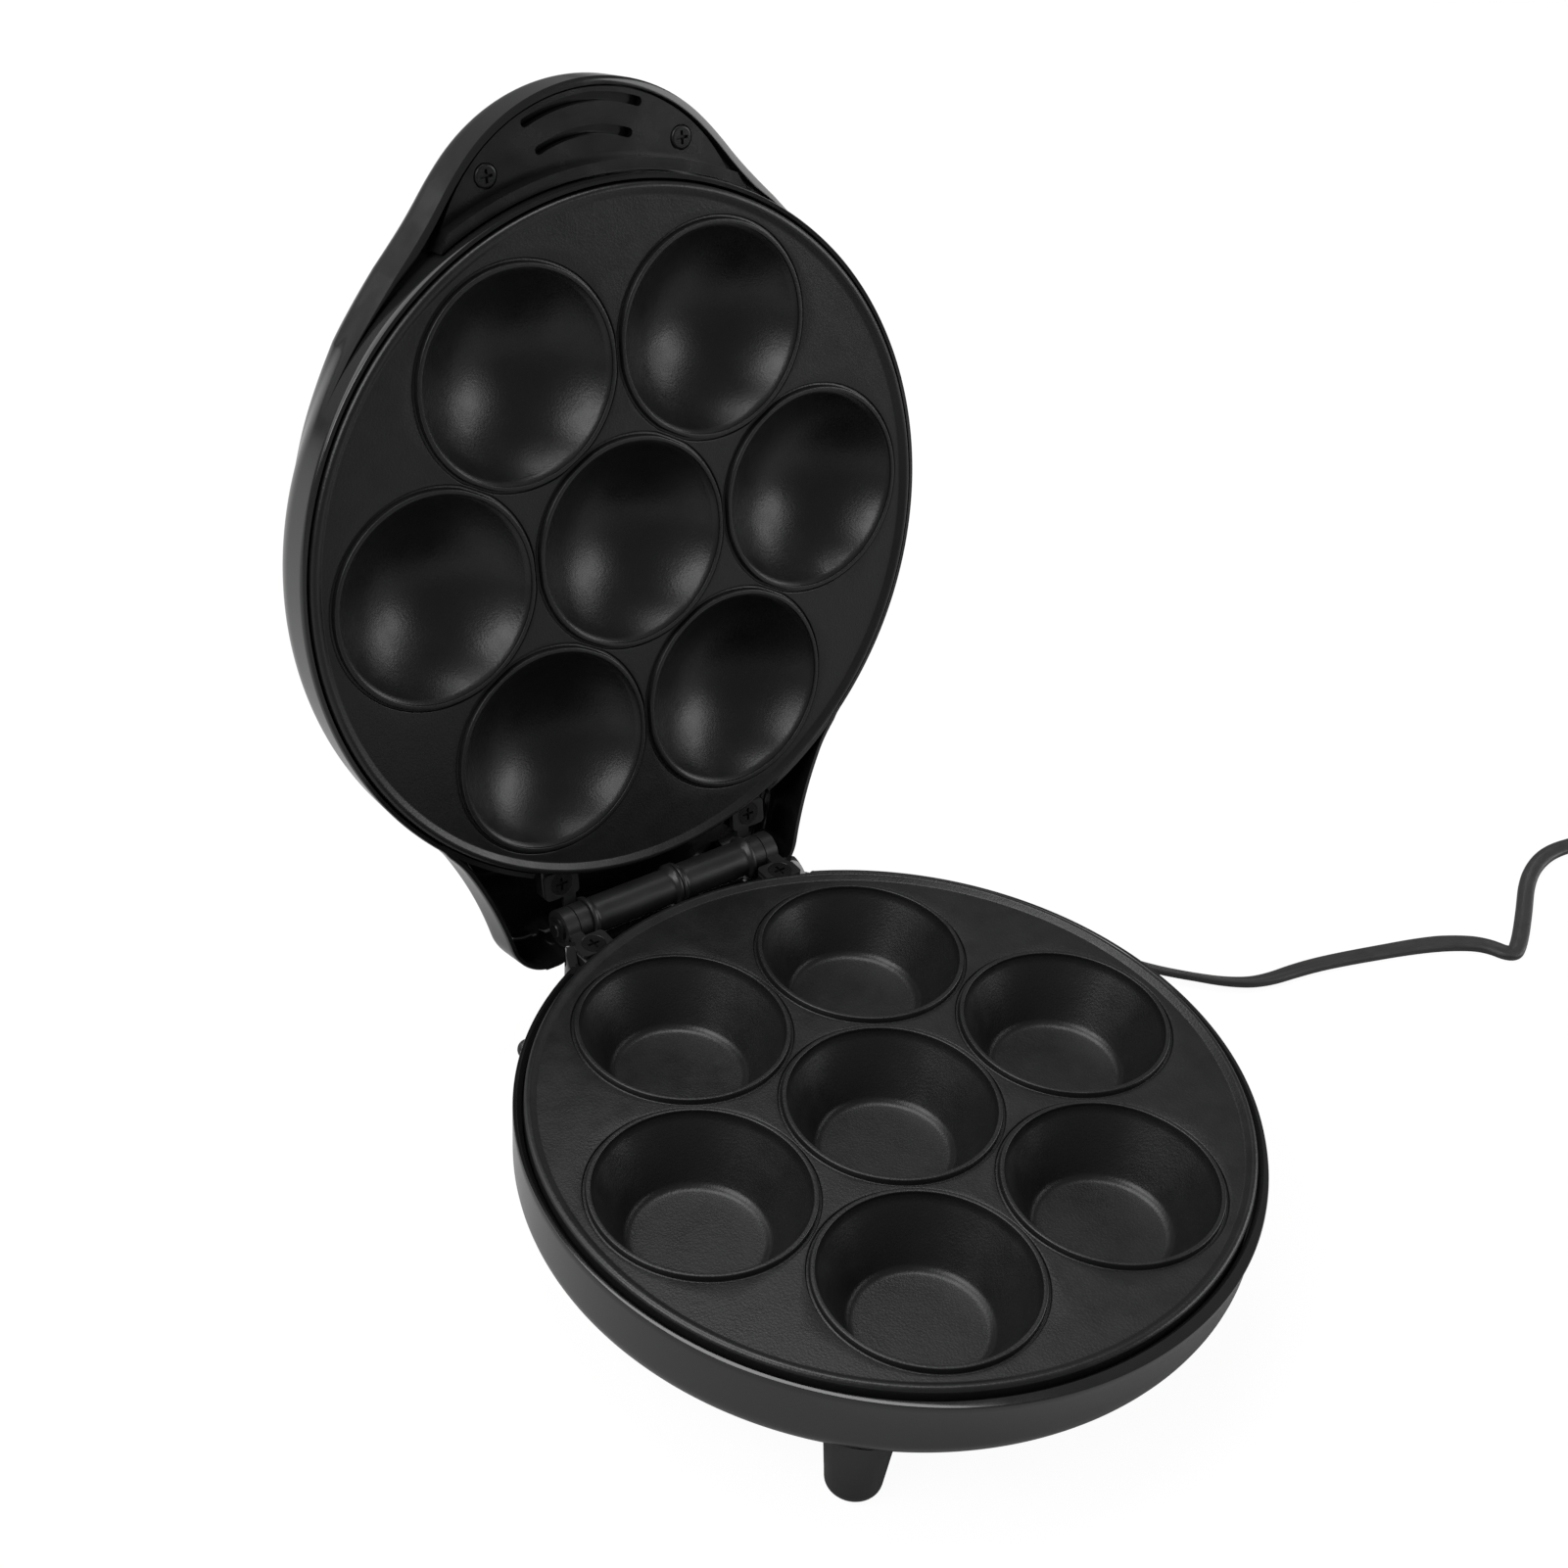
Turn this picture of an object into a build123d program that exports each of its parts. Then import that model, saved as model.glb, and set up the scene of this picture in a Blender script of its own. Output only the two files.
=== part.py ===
"""Countertop cake maker with a hinged lid, closed over its two cast plates.

Millimetres, +Z up, +Y towards the hinge, +X to the right.  The origin lies on
the worktop under the centre of the lower plate.
"""
import os
from math import atan2, cos, degrees, hypot, pi, radians, sin, sqrt, tan

from build123d import *

# ---------------------------------------------------------------- cast plates
LIP_Z = 43.0            # worktop to the lip plane of the lower plate
PLATE_R = 96.5          # outside radius of either plate
PLATE_GAP = 0.5         # plate skirt to the housing round it
LID_GAP = 0.4           # lip plane to lip plane with the lid shut
LIP_H = 1.2             # lip plane above the web
LIP_W = 3.3             # raised band along the plate's edge
LIP_RAMP = 1.7          # its sloped inner side
LIP_ROUND = 1.2
WEB_T = 2.4
SKIRT_T = 2.6
SKIRT_H = 8.0
CUP_LAND = 2.5          # half the land between two mouths
EDGE_LAND = 7.5         # outer mouths to the plate's edge
CUP_FLOOR_R = 18.6      # floor and depth of the lower cups
CUP_DEPTH = 18.7
CUP_FLOOR_FILLET = 3.0
DOME_MORE = 0.4         # upper hollows, mouth and depth
DOME_DEPTH = 17.0
CUP_WALL = 2.2
BEAD_W = 2.0            # raised bead round each mouth, foot and crest
BEAD_CREST = 1.2

# -------------------------------------------------------------- base housing
HOUSE_WALL = 2.4
HOUSE_TOP = -2.0        # rim, from the lip plane
HOUSE_H = 22.5          # rim to underside
HOUSE_ROLL = 7.8
HOUSE_DRAFT = 1.5       # degrees
RIM_CHAMFER = 1.2
LIFT_C = -6.9           # thumb lip at the front, an eccentric tapered disc
LIFT_R = 94.5
LIFT_H = 14.0
LIFT_TAPER = 10.0
LEDGE_W = 4.6           # inner ledge that carries the plate skirt
LEDGE_T = 2.4
TAB_HALF = 41.5         # hinge tab at the back
TAB_CORNER = 11.0
TAB_BLEND = 4.5
CHEEK_T = 3.0
DECK_Z = -9.0           # sunk deck between plate and back wall
DECK_T = 2.0
TAB_BACK = 2.9          # back wall, ahead of the hinge axis

# ------------------------------------------------------- bottom cover and feet
COVER_IN = 9.5          # its edge inside the plate's
COVER_GAP = 0.3
COVER_T = 2.2
REBATE_W = 3.3
REBATE_T = 1.6          # step inside the housing that the cover bears on
DISH_IN = 9.0           # dish inside the cover's edge
DISH_DROP = 4.5
VENT_W = 3.0
VENT_R = 46.0
VENT_SPAN = 24.0        # degrees
LEG_AZ = 228.3          # front left leg, degrees from +X
LEG_FOOT_IN = 5.5       # foot and top, inside the plate's edge
LEG_TOP_IN = 9.5
LEG_FOOT_R = 7.0
LEG_TOP_R = 9.6
REAR_LEG_X = 38.0
REAR_LEG_IN = 12.9      # ahead of the hinge axis
REAR_SPLAY = 0.8
REAR_TOP_R = 7.6
HEEL_X = 47.8
HEEL_IN = 3.5
HEEL_R = 3.1
PAD_R = 4.0
PAD_OUT = 0.6           # rubber pad below the leg
PAD_IN = 1.2
BOX_HALF = 30.0         # cord box under the back of the base
BOX_IN = 8.5            # its back ahead of the hinge axis
BOX_L = 33.0
BOX_DROP = 13.5
WAY_L = 6.8             # opening from the box up into the base
BOOT_NECK_R = 3.5

# --------------------------------------------------------------------- hinge
AXIS_OUT = 9.0          # hinge axis behind the plate's edge
AXIS_DROP = 2.0         # hinge axis below the lip plane
OPEN_ANGLE = 102.7
PIN_R = 2.0
PIN_FIT = 0.08
KNUCKLE_R = 5.4
KNUCKLE_W = 4.0
KNUCKLE_GAP = 0.3
EAR_X = 32.4            # middle of either ear
EAR_W = 11.0
EAR_OUT = 7.4           # ear end ahead of the axis
EAR_DROP = 1.9          # ear face below the lip plane
EAR_T = 4.1
STRAP_T = 1.2
EAR_SCREW_Y = 11.6      # ear screw ahead of the axis
EAR_SCREW_R = 2.0
EAR_HEAD_R = 3.5
SLEEVE_SPLIT = 2.4      # joint between the two sleeves
COLLAR_R = 6.4          # flared collars at the sleeves' ends
COLLAR_W = 2.0
CLIP_T = 0.8
CLIP_R = 3.8

# ------------------------------------------------------------------ lid shell
LID_WALL = 1.6
LID_RIM = 1.6           # lid rim above the lip plane
LID_DRAFT = 4.0
LID_DRAFT_IN = 1.6      # lean of the wall's inner face
LID_ROLL = 18.0
LID_CROWN_R = 518.0
LID_H = 35.2            # top of the crown above the lip plane
HANDLE_IN = 24.5        # centre of the handle's front edge, inside the plate's edge
HANDLE_R = 50.8
HANDLE_FLANK = 60.0     # direction of the flanks, degrees from +X
HANDLE_RUN = 36.0
HANDLE_RIM = 9.0
HANDLE_TOP = 28.0
HANDLE_ROLL = 10.0
HANDLE_WALL = 2.4
BACK_REACH = 14.0       # lid back edge behind the axis
BACK_HALF = 48.0
BACK_RUN = 47.0         # its hollow flanks, along and outwards
BACK_FLARE = 18.0
BACK_SAG = 2.9
BACK_CORNER = 10.0
BACK_TOP = 20.0
BACK_ROLL = 8.4
NOTCH_HALF = 30.7       # gap in the back wall, walled at its sides
NOTCH_TOP = 10.0
NOTCH_CORNER = 5.0
SIDE_LOW_Y = 8.5        # front edge of the side walls behind the axis, at the rim
SIDE_TOP_Y = 3.8
SIDE_TOP = 18.0
COVER_PLATE_T = 2.0     # plate that closes the handle from below
COVER_SUNK = 0.5
COVER_FIT = 0.3
RIDGE_W = 3.1
RIDGE_DROP = 4.5
SLOT_IN = 23.1
SLOT_RS = (36.0, 44.2)
SLOT_HALF = (13.5, 17.0)
SLOT_W = 2.5
GRIP_SCREW_X = 29.7
GRIP_SCREW_OUT = 6.5    # ahead of the plate's edge
GRIP_SCREW_R = 1.7
GRIP_SCREW_L = 10.0
GRIP_HEAD_R = 3.1
HOLE_FIT = 0.1
LUG_T = 2.5
POST_R = 4.3
LENS_X = 7.5
LENS_IN = 12.5
LENS_R = 3.2

# ------------------------------------------------------------------ internals
TUBE_R = 3.25           # sheathed heating tube
TUBE_DROP = 17.0
TAIL_X = 3.8
TAIL_BEND = 6.0
TAIL_END = 76.0
CLAMP_AT = 39.0
CLAMP_W = 8.0
CLAMP_T = 1.2
CLAMP_SCREW_R = 1.5
BOSS_R = 3.4
TIE_AT = 74.0           # long screws that hold plate, housing and cover
TIE_BOSS_R = 4.2
TIE_R = 2.0
TIE_HEAD_R = 3.7
TIE_POST_R = 5.9
TIE_BOSS_H = 19.0       # from the lip plane down to the foot of the bosses
TIE_HEAD_UP = 1.0
REFLECTOR_DROP = 0.4
REFLECTOR_R = 62.0
REFLECTOR_T = 0.8
STAT_R = 7.0
STAT_H = 10.0
STAT_IN = 19.5

# ----------------------------------------------------------------------- cord
CORD_D = 5.6
CORD_X = 22.0           # where it leaves the cord box
CORD_EXIT_Z = 11.6
BOOT_L = 24.0
BOOT_R = 4.6
HANK_C = (350.0, -26.0)
HANK_R = 33.0
HANK_LEAD = 25.0        # straight ends that leave the coil
PLUG_L = 34.0
PLUG_W = 24.0
PLUG_H = 14.0
BLADE_SPACE = 12.7
ROUTE = [
    (22.0, 129.0, 11.6), (23.0, 137.0, 9.8), (27.0, 144.5, 6.6), (34.0, 149.0, 4.0), (41.6, 147.6),
    (52.1, 142.6), (64.1, 132.1), (78.6, 117.6), (93.1, 104.6), (106.6, 89.6), (116.6, 70.6),
    (125.6, 51.6), (135.2, 35.9), (143.8, 26.1), (153.0, 17.3), (162.6, 12.1), (179.6, 10.3),
    (196.6, 6.0), (217.2, -0.5), (230.4, -6.3), (239.2, -12.3), (242.8, -21.2), (250.2, -17.5),
    (263.6, -8.1), (276.4, 1.6), (287.4, 6.9), (298.5, 9.0), (311.0, 7.0),
]

# --------------------------------------------------------------- derived sizes
PITCH = (PLATE_R - EDGE_LAND + CUP_LAND) / 1.5    # centre cup to each of the six round it
CUP_R = PITCH / 2 - CUP_LAND
DOME_R = CUP_R + DOME_MORE
COIL_R = PITCH / 2
STAT_AT = PLATE_R - STAT_IN
HINGE_Y = PLATE_R + AXIS_OUT
HINGE_Z = LIP_Z - AXIS_DROP
HOUSE_IN = PLATE_R + PLATE_GAP
HOUSE_OUT = HOUSE_IN + HOUSE_WALL
RIM_Z = LIP_Z + HOUSE_TOP
UNDER_Z = RIM_Z - HOUSE_H
TAB_Y = HINGE_Y - TAB_BACK
LEDGE_Z = LIP_Z - SKIRT_H
LID_IN = PLATE_R + PLATE_GAP
LID_OUT = LID_IN + LID_WALL
TOP_LIP_Z = LIP_Z + LID_GAP
WEB_UNDER = LIP_H + WEB_T
BACK_Y = HINGE_Y + BACK_REACH
COVER_R = PLATE_R - COVER_IN
DISH_R = COVER_R - DISH_IN
BOX_BACK = HINGE_Y - BOX_IN
BOX_FRONT = BOX_BACK - BOX_L
TIE_SEAT = LIP_Z - TIE_BOSS_H
TIE_HEAD_Z = UNDER_Z + TIE_HEAD_UP
REFLECTOR_Z = UNDER_Z - REFLECTOR_DROP
HANDLE_C = HANDLE_IN - PLATE_R
SLOT_C = SLOT_IN - PLATE_R
LENS_Y = LENS_IN - PLATE_R
GRIP_SCREW_Y = -PLATE_R - GRIP_SCREW_OUT
LUG_Z = LIP_Z + HANDLE_RIM + COVER_SUNK + COVER_PLATE_T   # under face of the front lugs
POST_TOP = LIP_Z + HANDLE_TOP - HANDLE_WALL
HINGE_AXIS = Axis((0, HINGE_Y, HINGE_Z), (1, 0, 0))


def can(radius, low, high, x=0.0, y=0.0):
    """Upright cylinder between two heights."""
    return Pos(x, y, low) * Cylinder(radius, high - low, align=(Align.CENTER, Align.CENTER, Align.MIN))


def slab(x0, x1, y0, y1, z0, z1):
    """Box between two corners."""
    return Pos(x0, y0, z0) * Box(x1 - x0, y1 - y0, z1 - z0, align=(Align.MIN, Align.MIN, Align.MIN))


def lathe(*edges):
    """Turned body from a closed half section of edges drawn as (r, 0, z)."""
    return revolve(make_face(Wire(list(edges))), Axis.Z)


def turned(*points):
    """Turned body from a closed polygon of (r, z) points."""
    line = Polyline(*[(r, 0, z) for r, z in points], close=True)
    return revolve(make_face(line), Axis.Z)


def rz_line(a, b):
    return Line((a[0], 0, a[1]), (b[0], 0, b[1]))


def rz_arc(centre, radius, start, end):
    """Arc in the half section between two angles in degrees."""
    def at(angle):
        return (centre[0] + radius * cos(radians(angle)), 0, centre[1] + radius * sin(radians(angle)))
    return ThreePointArc(at(start), at((start + end) / 2), at(end))


def spots(radius, angles):
    return [(radius * cos(radians(a)), radius * sin(radians(a))) for a in angles]


def save(solid, name, lid=False):
    """Write one node; what the lid carries is turned up to its open rest."""
    os.makedirs("parts", exist_ok=True)
    pieces = solid if isinstance(solid, list) else [solid]
    if lid:
        pieces = [piece.rotate(HINGE_AXIS, -OPEN_ANGLE) for piece in pieces]
    shape = Compound(children=pieces) if len(pieces) > 1 else pieces[0]
    export_step(shape, f"parts/{name}.step")


# ---------------------------------------------------------------- cast plates
CUP_SPOTS = [(0.0, 0.0)] + spots(PITCH, range(0, 360, 60))
CLAMP_AZ = (30, 150, 270)
TIE_AZ = (30, 150, 270)


def plate_blank():
    """Web, lip band and skirt, lip plane at z = 0 and the body below it."""
    foot = PLATE_R - LIP_W
    inner = PLATE_R - SKIRT_T
    turn = (PLATE_R - LIP_ROUND, -LIP_ROUND)
    return lathe(
        rz_line((0, -LIP_H), (foot, -LIP_H)),
        rz_line((foot, -LIP_H), (foot + LIP_RAMP, 0)),
        rz_line((foot + LIP_RAMP, 0), (turn[0], 0)),
        rz_arc(turn, LIP_ROUND, 90, 0),
        rz_line((PLATE_R, -LIP_ROUND), (PLATE_R, -SKIRT_H)),
        rz_line((PLATE_R, -SKIRT_H), (inner, -SKIRT_H)),
        rz_line((inner, -SKIRT_H), (inner, -WEB_UNDER)),
        rz_line((inner, -WEB_UNDER), (0, -WEB_UNDER)),
        rz_line((0, -WEB_UNDER), (0, -LIP_H)))


def bead(mouth):
    """Raised bead round one mouth, steep on its outer side."""
    low = -LIP_H - 0.5
    side = -BEAD_CREST / 4
    return lathe(
        rz_line((mouth, low), (mouth, side)),
        ThreePointArc((mouth, 0, side), (mouth + BEAD_CREST / 2, 0, 0), (mouth + BEAD_CREST, 0, side)),
        rz_line((mouth + BEAD_CREST, side), (mouth + BEAD_W, -LIP_H)),
        rz_line((mouth + BEAD_W, -LIP_H), (mouth + BEAD_W, low)),
        rz_line((mouth + BEAD_W, low), (mouth, low)))


def cup(wall):
    """Filled flat-bottomed cup, grown outwards by a wall."""
    lean = atan2(CUP_R - CUP_FLOOR_R, CUP_DEPTH - LIP_H)
    grow = wall / cos(lean)
    top = 1.0 if wall == 0 else -LIP_H
    low = -CUP_DEPTH - wall
    foot = CUP_FLOOR_R + grow - wall * tan(lean)
    rise = CUP_FLOOR_FILLET + wall
    half = (pi / 2 - lean) / 2
    cut = rise * tan(half)
    centre = (foot - cut, low + rise)
    steep = (foot + cut * sin(lean), low + cut * cos(lean))
    return lathe(
        rz_line((0, low), (foot - cut, low)),
        rz_arc(centre, rise, -90, -degrees(lean)),
        rz_line(steep, (CUP_R + grow, -LIP_H)),
        rz_line((CUP_R + grow, -LIP_H), (CUP_R + grow, top + 0.001)),
        rz_line((CUP_R + grow, top + 0.001), (0, top + 0.001)),
        rz_line((0, top + 0.001), (0, low)))


def dome(wall):
    """Filled shallow spherical hollow, grown outwards by a wall."""
    ball = (DOME_R ** 2 + DOME_DEPTH ** 2) / (2 * DOME_DEPTH)
    centre = ball - DOME_DEPTH
    radius = ball + wall
    top = 0.6 if wall == 0 else -LIP_H
    reach = sqrt(radius ** 2 - centre ** 2) if wall == 0 else sqrt(radius ** 2 - (centre + LIP_H) ** 2)
    level = 0.0 if wall == 0 else -LIP_H
    edge = degrees(atan2(level - centre, reach))
    return lathe(
        rz_arc((0, centre), radius, -90, edge),
        rz_line((reach, level), (reach, top + 0.01)),
        rz_line((reach, top + 0.01), (0, top + 0.01)),
        rz_line((0, top + 0.01), (0, -DOME_DEPTH - wall)))


def ear_pair():
    """Two cast ears behind the plate that the hinge straps sit on."""
    end = HINGE_Y - EAR_OUT
    low = -EAR_DROP - EAR_T
    lugs = []
    for side in (-1, 1):
        middle = side * EAR_X
        lug = slab(middle - EAR_W / 2, middle + EAR_W / 2, PLATE_R - 12, end, low, -EAR_DROP)
        lug = fillet(lug.edges().filter_by(Axis.Z).group_by(Axis.Y)[-1], 1.6)
        lugs.append(lug)
    return lugs


def ear_relief():
    """Lip cut away over each ear."""
    front = HINGE_Y - EAR_SCREW_Y - EAR_HEAD_R - 0.6
    return [slab(side * EAR_X - EAR_W / 2 - 0.5, side * EAR_X + EAR_W / 2 + 0.5, front,
                 PLATE_R + 5, -EAR_DROP, 1.0) for side in (-1, 1)]


def make_plate(hollow, mouth):
    """Cast plate with seven hollows, lip plane at z = 0."""
    body = plate_blank()
    skin = hollow(CUP_WALL)
    void = hollow(0)
    ring = bead(mouth)
    body += [Pos(x, y, 0) * skin for x, y in CUP_SPOTS]
    body += [Pos(x, y, 0) * ring for x, y in CUP_SPOTS]
    seat = -TUBE_DROP - TUBE_R - 0.05
    body += [can(BOSS_R, seat, -WEB_UNDER + 0.5, x, y) for x, y in spots(CLAMP_AT, CLAMP_AZ)]
    body -= [Pos(x, y, 0) * void for x, y in CUP_SPOTS]
    body -= [can(CLAMP_SCREW_R + HOLE_FIT, seat - 1, seat + 7, x, y) for x, y in spots(CLAMP_AT, CLAMP_AZ)]
    body += ear_pair()
    body -= ear_relief()
    for side in (-1, 1):
        body -= ear_screw(STRAP_T - EAR_DROP, True, HOLE_FIT, side * EAR_X)
        body -= can(EAR_SCREW_R + HOLE_FIT, -EAR_DROP - EAR_T - 1, -EAR_DROP, side * EAR_X,
                    HINGE_Y - EAR_SCREW_Y)
    return body


def make_lower_plate():
    body = make_plate(cup, CUP_R)
    depth = LIP_Z - TIE_SEAT
    for x, y in spots(TIE_AT, TIE_AZ):
        body += can(TIE_BOSS_R, -depth, -WEB_UNDER + 0.5, x, y)
        body -= can(TIE_R + HOLE_FIT, -depth - 1, -depth + 10.5, x, y)
    return Pos(0, 0, LIP_Z) * body


def lug_arm(grow=0.0):
    """Radial arm that carries one front lug of the upper plate, right side."""
    angle = degrees(atan2(GRIP_SCREW_Y, GRIP_SCREW_X))
    reach = hypot(GRIP_SCREW_X, GRIP_SCREW_Y)
    back = PLATE_R - SKIRT_T - (3.0 if grow else 0.0)
    low = TOP_LIP_Z + SKIRT_H - (0.05 if grow else 2.0)
    arm = slab(PLATE_R - SKIRT_T, reach, -POST_R - grow, POST_R + grow, LUG_Z - grow, LUG_Z + LUG_T + grow)
    root = slab(back, PLATE_R + (0.6 if grow else 0.0), -POST_R - grow, POST_R + grow, low,
                LUG_Z + LUG_T + grow)
    return Rot(0, 0, angle) * (arm + root)


def make_upper_plate():
    body = Pos(0, 0, TOP_LIP_Z) * mirror(make_plate(dome, DOME_R), Plane.XY)
    arm = lug_arm()
    body += [arm, mirror(arm, Plane.YZ)]
    for side in (-1, 1):
        x = side * GRIP_SCREW_X
        body += can(POST_R, LUG_Z, LUG_Z + LUG_T, x, GRIP_SCREW_Y)
        body -= can(GRIP_SCREW_R + HOLE_FIT, LUG_Z - 1, LUG_Z + LUG_T + 1, x, GRIP_SCREW_Y)
    return body


# -------------------------------------------------------------- base housing
def tab_outline(inset):
    """Plan of the base: a disc with the hinge tab behind it."""
    radius = HOUSE_OUT - inset
    half = TAB_HALF - inset
    back = TAB_Y - inset
    plan = Circle(radius) + Pos(0, back / 2) * Rectangle(2 * half, back)
    ends = plan.vertices().group_by(Axis.Y)[-1]
    corner = TAB_CORNER - inset
    side = back - corner - sqrt(radius ** 2 - half ** 2)
    plan = fillet(ends, corner)
    joints = [v for v in plan.vertices() if abs(hypot(v.X, v.Y) - radius) < 0.01 and v.Y > 0]
    return fillet(joints, min(TAB_BLEND, 1.3 * side))


def make_base_housing():
    top = LIP_Z
    plan = Pos(0, 0, top) * tab_outline(0)
    outer = extrude(plan, amount=-(top - UNDER_Z), taper=HOUSE_DRAFT)
    outer = fillet(outer.edges().group_by(Axis.Z)[0], HOUSE_ROLL)
    ceiling = LIP_Z + DECK_Z - DECK_T
    floor = UNDER_Z + HOUSE_WALL
    plan_in = Pos(0, 0, ceiling) * tab_outline(HOUSE_WALL + (top - ceiling) * tan(radians(HOUSE_DRAFT)))
    inner = extrude(plan_in, amount=-(ceiling - floor), taper=HOUSE_DRAFT)
    inner = fillet(inner.edges().group_by(Axis.Z)[0], HOUSE_ROLL - HOUSE_WALL)
    low_r = LIFT_R - LIFT_H * tan(radians(LIFT_TAPER))
    outer += Pos(0, LIFT_C, 0) * turned((0, RIM_Z - LIFT_H), (low_r, RIM_Z - LIFT_H), (LIFT_R, RIM_Z),
                                        (0, RIM_Z))
    body = outer - inner - can(HOUSE_IN, ceiling - 0.5, top + 1)
    body -= turned((HOUSE_IN - 1, RIM_Z - RIM_CHAMFER), (HOUSE_IN, RIM_Z - RIM_CHAMFER),
                   (HOUSE_IN + RIM_CHAMFER, RIM_Z), (HOUSE_IN + RIM_CHAMFER, top + 1),
                   (HOUSE_IN - 1, top + 1))
    body += turned((HOUSE_IN - LEDGE_W, LEDGE_Z - LEDGE_T), (HOUSE_IN + 1, LEDGE_Z - LEDGE_T - 1),
                   (HOUSE_IN + 1, LEDGE_Z), (HOUSE_IN - LEDGE_W, LEDGE_Z))
    # rebate that the bottom cover drops into
    rebate = COVER_R + COVER_GAP
    body += turned((rebate - REBATE_W, floor), (rebate + 2.5, floor), (rebate + 2.5, floor + REBATE_T),
                   (rebate - REBATE_W, floor + REBATE_T))
    body -= can(rebate - REBATE_W, UNDER_Z - 1, floor + 3)
    body -= can(rebate, UNDER_Z - 1, floor)
    # rim height, the dip beside the tab and the cheeks that rise to the lip plane
    start = sqrt(HOUSE_OUT ** 2 - TAB_HALF ** 2)
    skyline = Polyline(
        (0, -150, RIM_Z), (0, start, RIM_Z), (0, start + 1.5, RIM_Z - 3), (0, start + 6.5, LIP_Z - 0.6),
        (0, TAB_Y - 1.5, LIP_Z - 0.6), (0, TAB_Y + 1, LIP_Z - 3), (0, TAB_Y + 1, LIP_Z + 1),
        (0, -150, LIP_Z + 1), close=True)
    body -= extrude(make_face(skyline), amount=150, both=True)
    body -= slab(-TAB_HALF + CHEEK_T, TAB_HALF - CHEEK_T, PLATE_R - 25, TAB_Y + 2, LIP_Z + DECK_Z, LIP_Z + 2)
    return body


# ------------------------------------------------------------- bottom cover
def leg(x_foot, y_foot, r_foot, x_top, y_top, r_top, high):
    """Tapered leg with a rounded end and a socket for its pad."""
    low = PAD_OUT
    foot = Pos(x_foot, y_foot, low) * Circle(r_foot)
    top = Pos(x_top, y_top, high) * Circle(r_top)
    body = loft([foot, top])
    return fillet(body.edges().group_by(Axis.Z)[0], min(2.4, r_foot * 0.4))


LEG_ANGLES = (LEG_AZ, 540.0 - LEG_AZ)
FRONT_FEET = spots(PLATE_R - LEG_FOOT_IN, LEG_ANGLES)
REAR_FEET = [(side * (REAR_LEG_X + REAR_SPLAY), HINGE_Y - REAR_LEG_IN) for side in (-1, 1)]
FEET = FRONT_FEET + REAR_FEET


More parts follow.
